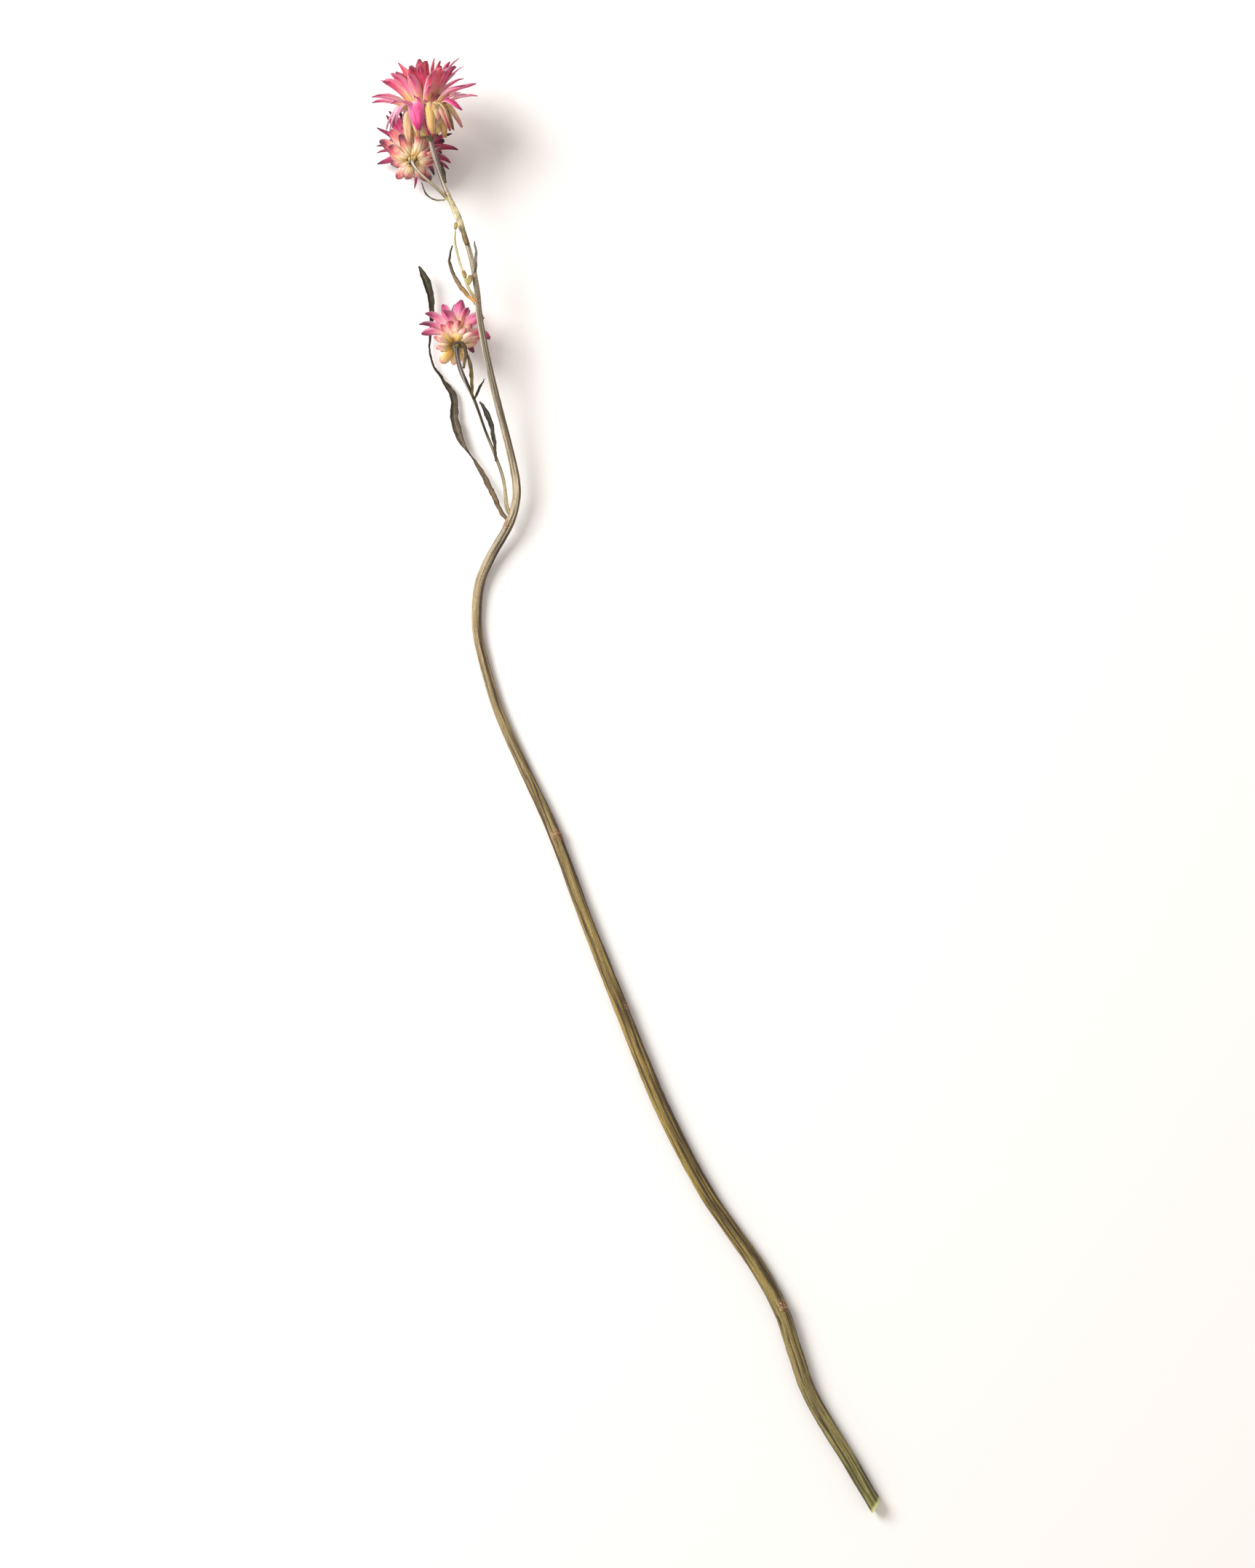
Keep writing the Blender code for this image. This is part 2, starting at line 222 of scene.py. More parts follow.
def stem_tree(name, knots):
    """A tube along the route, with wandering ribs, a rough bark and knots. Its points remember their place."""
    sockets = {"Int": ["Sides"], "Float": ["Ring Spacing", "Ribs", "Rib Depth", "Roughness", "Cut Slant"]}
    tree, given = growth_tree(name, sockets)
    core = add(tree, "MeshToCurve", [given["Geometry"]])
    core = add(tree, "CurveSplineType", [core], spline_type="CATMULL_ROM")
    core = add(tree, "ResampleCurve", {"Curve": core, 2: given["Ring Spacing"]}, mode="LENGTH")
    spline = add(tree, "SplineParameter")
    for mark, value, kind in (
        ("distance", spline.outputs["Length"], "FLOAT"),
        ("share", spline.outputs["Factor"], "FLOAT"),
        ("middle", add(tree, "InputPosition"), "FLOAT_VECTOR"),
        ("heading", add(tree, "InputTangent"), "FLOAT_VECTOR"),
    ):
        stored = {"Geometry": core, "Name": mark, "Value": value}
        core = add(tree, "StoreNamedAttribute", stored, data_type=kind)
    radius = add(tree, "InputNamedAttribute", {"Name": "radius_m"})
    ring = add(tree, "CurvePrimitiveCircle", {"Resolution": given["Sides"], "Radius": 1.0})
    ring = add(tree, "StoreNamedAttribute", {"Geometry": ring, "Name": "turn", "Value": spline})
    tube = {"Curve": core, "Profile Curve": ring, "Scale": radius, "Fill Caps": True}
    tube = add(tree, "CurveToMesh", tube)

    # Where a point is on the bark: round the stem and along it.
    turn = add(tree, "InputNamedAttribute", {"Name": "turn"})
    distance = add(tree, "InputNamedAttribute", {"Name": "distance"})
    middle = add(tree, "InputNamedAttribute", {"Name": "middle"}, data_type="FLOAT_VECTOR")
    heading = add(tree, "InputNamedAttribute", {"Name": "heading"}, data_type="FLOAT_VECTOR")
    around = add(tree, "Math MULTIPLY", [turn, 2 * pi])
    thick = add(tree, "Math MULTIPLY", [radius, 1 / MM])
    round_x = add(tree, "Math COSINE", [around])
    round_y = add(tree, "Math SINE", [around])
    pairs = ((round_x, thick), (round_y, thick), (distance, 1 / MM))
    grain = add(tree, "CombineXYZ", [add(tree, "Math MULTIPLY", pair) for pair in pairs])
    noises = []
    for wide, long, detail in (RIB_WANDER, RIB_FADE, BARK_LUMPS):
        lane = add(tree, "VectorMath MULTIPLY", [grain, (1 / wide, 1 / wide, 1 / long)])
        lane = {"Vector": lane, "Scale": 1.0, "Detail": detail, "Roughness": 0.6}
        noises.append(add(tree, "TexNoise", lane))
    wander, fade, lumps = noises

    # The ribs, with valleys between them that come and go, and the lumps on top.
    phase = add(tree, "Math MULTIPLY", [around, given["Ribs"]])
    swing = add(tree, "Math MULTIPLY", [wander, RIB_SWING])
    phase = add(tree, "Math ADD", [phase, swing])
    half = add(tree, "Math MULTIPLY", [phase, 0.5])
    wave = add(tree, "Math SINE", [half])
    wave = add(tree, "Math ABSOLUTE", [wave])
    fade = add(tree, "MapRange", [fade, 0.38, 0.6, 0.0, 1.0])
    valley = add(tree, "Math SUBTRACT", [wave, 1.0])
    valley = add(tree, "Math MULTIPLY", [valley, fade])
    rib = add(tree, "Math ADD", [valley, 1.0])
    depth = add(tree, "Math MULTIPLY", [valley, given["Rib Depth"]])
    rough = add(tree, "Math SUBTRACT", [lumps, 0.5])
    lift = add(tree, "Math MULTIPLY_ADD", [rough, given["Roughness"], depth])

    # The knots, each a smooth swelling.
    place = add(tree, "InputPosition")
    outward = add(tree, "VectorMath SUBTRACT", [place, middle])
    knot = 0.0
    rise = 0.0
    for x, y, height, reach, swell in knots:
        centre = (Vector((x, y, height)) - GROUND_CENTRE) * MM
        far = add(tree, "VectorMath DISTANCE", [place, centre])
        near = add(tree, "MapRange", [far, 0.0, reach * MM, 1.0, 0.0], interpolation_type="SMOOTHSTEP")
        knot = add(tree, "Math MAXIMUM", [knot, near])
        rise = add(tree, "Math MULTIPLY_ADD", [near, swell / 2, rise])
    lift = add(tree, "Math ADD", [lift, rise])
    offset = add(tree, "VectorMath SCALE", [outward, lift])

    # The slant of the cut, which pushes one side of the first rings forwards and the other one back.
    side = add(tree, "VectorMath CROSS_PRODUCT", [heading, (0.0, 0.0, 1.0)])
    lean = add(tree, "VectorMath DOT_PRODUCT", [outward, side])
    lean = add(tree, "Math MULTIPLY", [lean, given["Cut Slant"]])
    at_cut = add(tree, "MapRange", [distance, 0.0, CUT_REACH * MM, 1.0, 0.0], interpolation_type="SMOOTHSTEP")
    lean = add(tree, "Math MULTIPLY", [lean, at_cut])
    slide = add(tree, "VectorMath SCALE", [heading, lean])
    offset = add(tree, "VectorMath ADD", [offset, slide])
    # How far each point faces the key light, stored so that the bark paints light on that side and shade on
    # the flanks.
    facing = add(tree, "VectorMath NORMALIZE", [outward])
    painted_light_facing = add(tree, "VectorMath DOT_PRODUCT", [facing, PAINTED_LIGHT_DIRECTION])
    for mark, value, kind in (
        ("painted_light_facing", painted_light_facing, "FLOAT"),
        ("rib", rib, "FLOAT"),
        ("knot", knot, "FLOAT"),
        ("grain", grain, "FLOAT_VECTOR"),
    ):
        stored = {"Geometry": tube, "Name": mark, "Value": value}
        tube = add(tree, "StoreNamedAttribute", stored, data_type=kind)
    tube = add(tree, "SetPosition", {"Geometry": tube, "Offset": offset})
    return finish_tree(tree, rest_on_surface(tree, tube, BARK_GAP), given)


def new_finish(name):
    """A material, its tree and its Principled shader."""
    material = bpy.data.materials.new(name)
    material.use_nodes = True
    return material, material.node_tree, material.node_tree.nodes["Principled BSDF"]


def coat(tree, shader, skin, relief, strength, depth, roughness):
    """Gives a shader its colour, its relief with a depth in millimetres, and its roughness."""
    plug(tree, skin, shader.inputs["Base Color"])
    bump = add(tree, "Bump", {"Height": relief, "Strength": strength, "Distance": depth * MM})
    plug(tree, bump, shader.inputs["Normal"])
    shader.inputs["Roughness"].default_value = roughness


# How wide and how long each pattern of the bark's colour is, in millimetres, and how fine its detail: bleached
# bands, fibres and flecks. The real flecks are about 0.1 mm and are drawn coarser, so that they show.
BARK_BANDS = (1.1, 42.0, 3.0)
BARK_FIBRES = (0.32, 10.0, 5.0)
BARK_FLECKS = (0.28, 0.5, 3.0)

# Where the fresh green of the cut begins to fade and where it ends, in millimetres from the end of the stem.
FRESH_CUT = (0.2, 1.2)


def bark_finish(name, bleached_and_lit, brown):
    """Dry bark: bleached and brown bands, painted light towards the lamp, painted shade on the flanks and in
    the grooves, fine fibres and flecks, and rough red-brown knots.
    """
    material, tree, shader = new_finish(name)
    grain = add(tree, "Attribute", attribute_name="grain").outputs["Vector"]
    rib, share, distance, painted_light_facing, knot = [
        add(tree, "Attribute", attribute_name=mark).outputs["Fac"]
        for mark in ("rib", "share", "distance", "painted_light_facing", "knot")
    ]
    noises = []
    for wide, long, detail in (BARK_BANDS, BARK_FIBRES, BARK_FLECKS):
        lane = add(tree, "Mapping", {"Vector": grain, "Scale": (1 / wide, 1 / wide, 1 / long)})
        lane = {"Vector": lane, "Scale": 1.0, "Detail": detail, "Roughness": 0.65}
        noises.append(add(tree, "TexNoise", lane))
    band, fibre, fleck = noises
    light = add(tree, "ValToRGB", [share], stops=bleached_and_lit)
    dark = add(tree, "ValToRGB", [share], stops=brown)
    band = add(tree, "MapRange", [band, 0.36, 0.64, -1.0, 1.0])
    # Painted light and shade: the pale colour goes where the bands are pale and where the side faces the key
    # light, the brown on the flanks.
    bands_and_painted_light = add(tree, "Math ADD", [painted_light_facing, band])
    bands_and_painted_light = add(tree, "MapRange", [bands_and_painted_light, 0.05, 1.0, 0.0, 1.0])
    skin = add(tree, "Mix", [bands_and_painted_light, dark, light], data_type="RGBA")
    for noise, darkest, lightest in ((fibre, 0.45, 1.5), (fleck, 0.72, 1.28)):
        tone = add(tree, "MapRange", [noise, 0.3, 0.7, darkest, lightest])
        skin = add(tree, "Mix", [1.0, skin, tone], data_type="RGBA", blend_type="MULTIPLY")
    # Painted shade: the grooves between the ribs are darkened almost to black.
    groove_shade = add(tree, "MapRange", [rib, 0.1, 0.6, 0.9, 0.0])
    skin = add(tree, "Mix", [groove_shade, skin, colour("#2E1F12")], data_type="RGBA")
    scabs = [(0.38, "#2A160C"), (0.47, "#7A4A2C"), (0.56, "#A8744C"), (0.64, "#E9D9B8")]
    scab = add(tree, "ValToRGB", [fleck], stops=scabs)
    scabby = add(tree, "Math MULTIPLY", [knot, 0.85])
    skin = add(tree, "Mix", [scabby, skin, scab], data_type="RGBA")
    fresh = add(tree, "MapRange", [distance, FRESH_CUT[0] * MM, FRESH_CUT[1] * MM, 0.9, 0.0])
    skin = add(tree, "Mix", [fresh, skin, colour("#D0D392")], data_type="RGBA")
    relief = add(tree, "Math MULTIPLY_ADD", [fleck, knot, fibre])
    relief = add(tree, "Math MULTIPLY_ADD", [fleck, 0.4, relief])
    coat(tree, shader, skin, relief, strength=0.9, depth=0.15, roughness=0.7)
    return material


# Dry ribbed bark gives dull olive and brown stripes below, which bleach to grey straw towards the heads.
main_bark = bark_finish(
    "dry ribbed bark",
    [
        (0.0, "#8C864C"), (0.1, "#8A7A4C"), (0.25, "#8E7A3A"), (0.4, "#9A8448"), (0.58, "#928058"),
        (0.67, "#AA9670"), (0.72, "#9A8E78"), (0.76, "#D6C6A6"), (0.82, "#A69C88"), (0.86, "#BEB9A2"),
        (0.93, "#BCB096"), (1.0, "#D2C4B8"),
    ],
    [
        (0.0, "#40401E"), (0.2, "#42321A"), (0.45, "#46331D"), (0.65, "#4C3824"), (0.78, "#6E5E48"),
        (0.9, "#786C58"), (1.0, "#7C726A"),
    ],
)
main_shape = {"Ring Spacing": 0.7 * MM, "Sides": 72, "Ribs": 6.0, "Rib Depth": 0.2, "Roughness": 0.16}
main_shape |= {"Cut Slant": 0.55, "Material": main_bark}
main_stem = grow("main_stem", stem_tree("knotted stem", KNOTS), route_mesh("main_stem", MAIN_STEM), main_shape)
keep(main_stem, "stem", "main_stem")


# Side stems. Each is a thinner stem that grew out of a node of the main stem and carries a head or buds.
# The wood is the same, with finer ribs, and greyer towards the heads.

# x, y, height and diameter, in millimetres, from the node outwards.
LOWER_SIDE_STEM = [
    (-29.6, 70.9, 4.6, 1.3),
    (-31.3, 73.8, 5.2, 1.1),
    (-31.9, 79.2, 6.0, 0.9),
    (-32.8, 83.3, 6.6, 0.9),
    (-35.3, 90.0, 7.9, 0.8),
    (-37.3, 95.0, 9.3, 0.8),
    (-39.9, 102.3, 11.8, 0.9),
    (-43.2, 109.5, 13.9, 1.3),
    (-44.4, 113.5, 14.9, 1.3),
    (-44.9, 117.4, 13.6, 1.6),
]
NODDING_SIDE_STEM = [
    (-47.2, 156.6, 16.3, 1.1),
    (-48.9, 158.4, 17.4, 0.9),
    (-51.7, 160.9, 18.9, 0.8),
    (-54.0, 162.9, 19.3, 0.8),
    (-56.0, 165.2, 18.3, 0.9),
    (-56.7, 167.1, 15.3, 1.4),
]
SIDE_SHOOT = [
    (-39.4, 129.6, 16.1, 0.9),
    (-41.2, 132.0, 16.8, 0.8),
    (-42.6, 135.6, 17.3, 0.8),
    (-44.2, 140.6, 17.8, 0.7),
    (-45.2, 145.2, 18.1, 0.6),
    (-45.0, 149.0, 18.3, 0.3),
]

# Side stem bark gives grey-brown fibres, darkest under the heads.
side_bark = bark_finish(
    "dry side stem bark",
    [(0.0, "#B8A67E"), (0.35, "#A09678"), (0.6, "#A89C86"), (0.8, "#B4AAA0"), (1.0, "#A8A094")],
    [(0.0, "#5E4A2E"), (0.35, "#4C4028"), (0.6, "#40362A"), (0.8, "#3C3630"), (1.0, "#38322C")],
)
# The shoot's thin bark gives a pale straw yellow with little contrast.
shoot_bark = bark_finish(
    "pale shoot bark",
    [(0.0, "#B4AC78"), (0.5, "#D6CC9C"), (1.0, "#CFC89A")],
    [(0.0, "#5A5030"), (0.5, "#8A8058"), (1.0, "#8E8660")],
)
plain_stem = stem_tree("plain stem", [])
for name, (route, bark) in {
    "lower_side_stem": (LOWER_SIDE_STEM, side_bark),
    "nodding_side_stem": (NODDING_SIDE_STEM, side_bark),
    "side_shoot": (SIDE_SHOOT, shoot_bark),
}.items():
    side_shape = {"Ring Spacing": 0.4 * MM, "Sides": 40, "Ribs": 5.0, "Rib Depth": 0.24, "Roughness": 0.25}
    side_shape |= {"Cut Slant": 0.0, "Material": bark}
    keep(grow(name, plain_stem, route_mesh(name, route), side_shape), "stem", name)


# Leaves. Narrow lance-shaped blades that curled, folded along the midrib and twisted as they dried.
# They are thin, brittle and wrinkled, and each grew straight out of a node with no stalk.

# x, y, height, width and roll in degrees, in millimetres from the foot to the tip.
LEAVES = {
    "leaf_long_twisted": [
        (-31.0, 70.6, 4.4, 0.9, 20),
        (-32.9, 72.8, 3.9, 1.2, 20),
        (-34.6, 76.8, 3.4, 1.6, 35),
        (-37.0, 81.7, 2.8, 2.0, 40),
        (-39.4, 85.9, 2.2, 1.8, 60),
        (-41.8, 89.2, 1.9, 1.6, 100),
        (-44.1, 93.4, 1.7, 2.2, 150),
        (-45.7, 98.5, 1.6, 2.4, 185),
        (-45.9, 103.9, 1.6, 2.0, 200),
        (-48.6, 108.2, 1.6, 1.5, 230),
        (-51.4, 112.6, 1.6, 1.0, 250),
        (-52.4, 117.4, 1.7, 0.9, 240),
        (-52.0, 124.0, 2.0, 1.3, 220),
        (-52.0, 130.5, 3.0, 1.8, 200),
        (-53.4, 135.6, 4.0, 2.2, 185),
        (-55.2, 139.2, 4.6, 0.3, 180),
    ],
    "leaf_along_side_stem": [
        (-34.2, 86.4, 7.6, 0.8, 60),
        (-34.8, 93.2, 10.2, 1.4, 40),
        (-36.2, 98.2, 11.8, 1.7, 30),
        (-38.6, 102.4, 12.6, 0.3, 20),
    ],
    "leaf_spike": [
        (-40.0, 102.8, 12.0, 0.8, 70),
        (-38.9, 105.0, 13.6, 0.9, 50),
        (-37.4, 108.4, 14.2, 0.2, 40),
    ],
    "leaf_below_head": [
        (-40.6, 103.4, 12.4, 0.6, 60),
        (-40.6, 108.4, 15.0, 1.3, 50),
        (-41.0, 112.2, 16.0, 1.3, 30),
        (-41.9, 114.8, 16.4, 0.2, 20),
    ],
    "leaf_stub": [
        (-42.9, 111.2, 14.9, 0.6, 20),
        (-42.4, 113.4, 16.6, 0.9, 20),
        (-42.3, 115.8, 17.9, 0.9, 10),
        (-43.3, 117.8, 18.4, 0.7, 0),
        (-45.0, 118.0, 18.2, 0.5, 0),
        (-46.2, 116.8, 17.7, 0.1, 0),
    ],
    "leaf_at_node": [
        (-39.6, 128.6, 15.8, 0.8, -20),
        (-42.6, 131.8, 14.8, 1.2, -20),
        (-44.6, 134.6, 14.4, 1.2, -25),
        (-46.2, 137.6, 14.2, 1.3, -50),
        (-46.9, 140.6, 14.4, 1.4, -70),
        (-45.9, 144.4, 15.0, 0.2, -60),
    ],
    "leaf_pointed": [
        (-39.8, 136.4, 16.4, 0.5, 40),
        (-39.4, 141.4, 18.4, 0.8, 30),
        (-40.0, 145.2, 19.0, 0.1, 20),
    ],
    "leaf_clasping": [
        (-41.9, 144.4, 17.0, 1.8, 0),
        (-43.8, 150.2, 16.9, 2.7, 0),
        (-45.6, 154.6, 17.1, 2.5, 0),
        (-47.3, 158.2, 17.7, 0.3, 0),
    ],
    "leaf_curled": [
        (-48.0, 156.4, 16.0, 0.5, 60),
        (-51.2, 156.8, 15.6, 0.6, 60),
        (-53.2, 158.6, 15.9, 0.5, 80),
        (-54.2, 161.2, 16.6, 0.15, 90),
    ],
    "leaf_under_head": [
        (-47.8, 161.0, 17.4, 0.6, 0),
        (-48.3, 163.8, 18.8, 0.9, 0),
        (-49.0, 166.6, 20.2, 0.15, 0),
    ],
}

# The colours at the foot, middle and tip of each leaf, and how far it curled across.
LEAF_LOOKS = {
    "leaf_long_twisted": ("#7A664C", "#544A3C", "#42422E", 0.9),
    "leaf_along_side_stem": ("#6A5844", "#45463F", "#33342F", 1.0),
    "leaf_spike": ("#3A3028", "#231F1B", "#171513", 1.2),
    "leaf_below_head": ("#8A7242", "#84783C", "#5A4C2E", 0.9),
    "leaf_stub": ("#6A5438", "#4A3824", "#33271A", 1.6),
    "leaf_at_node": ("#B8813E", "#7A684A", "#2E271E", 0.9),
    "leaf_pointed": ("#5A4A3A", "#8C867A", "#8A8880", 1.0),
    "leaf_clasping": ("#7A6440", "#CCC098", "#C9BE92", 1.9),
    "leaf_curled": ("#8C8468", "#726C56", "#4E4A3E", 1.3),
    "leaf_under_head": ("#5A5236", "#2C281E", "#211E18", 1.2),
}

# How thick a leaf is, how deep its wrinkles are, how far apart its cross-sections are, how near the surface it
# may come and how long a vein's streak is, in millimetres.
LEAF_THICKNESS = 0.16
LEAF_WRINKLE = 0.7
LEAF_STEP = 0.5
LEAF_GAP = 0.3
VEIN_LENGTH = 5.0

# A wrinkle is 1.9 mm wide and a mottle 1.7 mm. Seven veins run between midrib and margin, 0.15 mm apart.
WRINKLES_A_METRE = 520.0
MOTTLES_A_METRE = 600.0
VEINS_A_SIDE = 7.0


def leaf_tree():
    """A blade along the route: a curled strip of the route's width, rolled about its line and wrinkled."""
    tree, given = growth_tree("dried leaf", {"Float": ["Curl", "Wrinkle"]})
    line = add(tree, "MeshToCurve", [given["Geometry"]])
    line = add(tree, "CurveSplineType", [line], spline_type="CATMULL_ROM")
    line = add(tree, "ResampleCurve", {"Curve": line, 2: LEAF_STEP * MM}, mode="LENGTH")
    line = add(tree, "SetCurveNormal", [line], mode="Z_UP")
    roll = add(tree, "InputNamedAttribute", {"Name": "roll"})
    line = add(tree, "SetCurveTilt", {"Curve": line, "Tilt": roll})
    spline = add(tree, "SplineParameter")
    for mark, value in (("share", spline.outputs["Factor"]), ("distance", spline.outputs["Length"])):
        line = add(tree, "StoreNamedAttribute", {"Geometry": line, "Name": mark, "Value": value})
    width = add(tree, "InputNamedAttribute", {"Name": "radius_m"})
    strip = add(tree, "CurvePrimitiveLine", {"Start": (-1.0, 0.0, 0.0), "End": (1.0, 0.0, 0.0)})
    strip = add(tree, "ResampleCurve", {"Curve": strip, "Count": 11})
    spot = add(tree, "SeparateXYZ", [add(tree, "InputPosition")])
    strip = add(tree, "StoreNamedAttribute", {"Geometry": strip, "Name": "across", "Value": spot})
    bend = add(tree, "Math MULTIPLY", [spot, given["Curl"]])
    sine = add(tree, "Math SINE", [bend])
    cosine = add(tree, "Math COSINE", [bend])
    drop = add(tree, "Math SUBTRACT", [1.0, cosine])
    bent = [add(tree, "Math DIVIDE", [way, given["Curl"]]) for way in (sine, drop)]
    strip = add(tree, "SetPosition", {"Geometry": strip, "Position": add(tree, "CombineXYZ", bent)})
    blade = add(tree, "CurveToMesh", {"Curve": line, "Profile Curve": strip, "Scale": width})
    across = add(tree, "InputNamedAttribute", {"Name": "across"})
    edge = add(tree, "Math ABSOLUTE", [across])
    edge = add(tree, "Math ADD", [edge, 0.35])
    edge = add(tree, "Math MULTIPLY", [edge, given["Wrinkle"]])
    place = add(tree, "InputPosition")
    wrinkle = add(tree, "TexNoise", {"Vector": place, "Scale": WRINKLES_A_METRE, "Detail": 3.0})
    wrinkle = add(tree, "VectorMath SUBTRACT", [wrinkle.outputs["Color"], (0.5, 0.5, 0.5)])
    wrinkle = add(tree, "VectorMath SCALE", [wrinkle, edge])
    blade = add(tree, "SetPosition", {"Geometry": blade, "Offset": wrinkle})
    return finish_tree(tree, rest_on_surface(tree, blade, LEAF_GAP), given)


def leaf_finish(name, foot, middle, tip):
    """A dried leaf: matt and brittle, with dark margins that are partly their own colour and partly painted
    shade, a pale midrib, mottles and fine lengthwise veins.
    """
    material, tree, shader = new_finish(name)
    across, share, distance = [
        add(tree, "Attribute", attribute_name=mark).outputs["Fac"] for mark in ("across", "share", "distance")
    ]
    skin = add(tree, "ValToRGB", [share], stops=[(0.12, foot), (0.42, middle), (0.85, tip)])
    place = add(tree, "TexCoord").outputs["Object"]
    mottle = {"Vector": place, "Scale": MOTTLES_A_METRE, "Detail": 5.0, "Roughness": 0.7}
    mottle = add(tree, "TexNoise", mottle)
    lane = [
        add(tree, "Math MULTIPLY", [across, VEINS_A_SIDE]),
        add(tree, "Math MULTIPLY", [distance, 1 / (VEIN_LENGTH * MM)]),
    ]
    vein = add(tree, "TexNoise", {"Vector": add(tree, "CombineXYZ", lane), "Scale": 1.0, "Detail": 3.0})
    tones = ((mottle, 0.35, 0.65, 0.55, 1.45), (vein, 0.4, 0.65, 0.75, 1.3))
    for noise, low, high, darkest, lightest in tones:
        tone = add(tree, "MapRange", [noise, low, high, darkest, lightest])
        skin = add(tree, "Mix", [1.0, skin, tone], data_type="RGBA", blend_type="MULTIPLY")
    beside = add(tree, "Math ABSOLUTE", [across])
    midrib = add(tree, "MapRange", [beside, 0.03, 0.14, 0.35, 0.0])
    skin = add(tree, "Mix", [midrib, skin, colour("#B7AA88")], data_type="RGBA")
    # The dark margins are partly the leaf's own colour and partly painted shade where the curled edges turn
    # away.
    margin_and_shade = add(tree, "MapRange", [beside, 0.5, 0.95, 0.0, 0.7])
    skin = add(tree, "Mix", [margin_and_shade, skin, colour("#2C2318")], data_type="RGBA")
    relief = add(tree, "Math ADD", [mottle, vein])
    coat(tree, shader, skin, relief, strength=0.8, depth=0.15, roughness=0.8)
    return material


dried_leaf = leaf_tree()
# Each leaf's own dry skin is matt brown to olive, with a paler midrib and dark margins, partly painted shade.
for name, route in LEAVES.items():
    *colours, curl = LEAF_LOOKS[name]
    finish = leaf_finish("dried " + name, *colours)
    leaf_shape = {"Curl": curl, "Wrinkle": LEAF_WRINKLE * MM, "Material": finish}
    keep(grow(name, dried_leaf, route_mesh(name, route), leaf_shape, wall=LEAF_THICKNESS), "leaf", name)


# Receptacles. The thickened tip of each stem, to which every bract and floret of the head is joined.
# It is the same dry wood, shaped like a small goblet, and matt with short cracks.

# Where each head sits on its stem, which way it faces and its size against the upper head, as in the CAD.
HEADS = {
    "upper_head": {"base": (-51.8, 172.8, 21.1), "axis": (-0.17, 0.98, 0.0), "size": 1.0},
    "nodding_head": {"base": (-56.7, 166.8, 15.53), "axis": (0.06, 0.53, -0.85), "size": 0.86},
    "lower_head": {"base": (-44.9, 117.1, 13.72), "axis": (-0.02, 0.70, -0.71), "size": 0.68},
}

# A crack is 1.1 mm long.
CRACKS_A_METRE = 900.0

# Receptacle wood gives a dull green-brown, a little lighter than the scales round it.
green_wood, wood_tree, wood_shader = new_finish("dry receptacle wood")
wood_place = add(wood_tree, "TexCoord").outputs["Object"]
wood_noise = add(wood_tree, "TexNoise", {"Vector": wood_place, "Scale": CRACKS_A_METRE, "Detail": 4.0})
wood_stops = [(0.35, "#4C3D24"), (0.5, "#7D6B40"), (0.65, "#A8935C")]
wood_tone = add(wood_tree, "ValToRGB", [wood_noise], stops=wood_stops)
coat(wood_tree, wood_shader, wood_tone, wood_noise, strength=0.6, depth=0.1, roughness=0.8)
for head in HEADS:
    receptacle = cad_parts[head + "_receptacle"]
    receptacle.data.materials.clear()
    receptacle.data.materials.append(green_wood)


# Disc florets. Some hundred tiny yellow tubes that stand packed in the middle of each head.
# They dried to a stiff golden brush, and the ones at the rim lean outwards.

# How many florets a head has. Then, in millimetres of a head of size 1: how high their feet stand, how far
# they spread and how long they are. Then the radius of their mouth and of their foot in millimetres, and how
# far they lean, in radians a millimetre from the middle. The last is the turn from one to the next.
FLORETS = 90
FLORET_FOOT = 4.4
FLORET_SPREAD = 2.5
FLORET_LENGTH = 6.2
FLORET_MOUTH = 0.34
FLORET_NECK = 0.16
FLORET_LEAN = 0.09
GOLDEN_ANGLE = pi * (3 - 5**0.5)


def seat(tree, given, place):
    """Turns a place in a head's own frame, with +Z along its axis, to its place on the plant."""
    turn = add(tree, "AlignRotationToVector", {"Vector": given["Facing"]}, axis="Z", pivot_axis="AUTO")
    turned = add(tree, "RotateVector", {"Vector": place, "Rotation": turn})
    return add(tree, "VectorMath ADD", [turned, given["Seat"]])


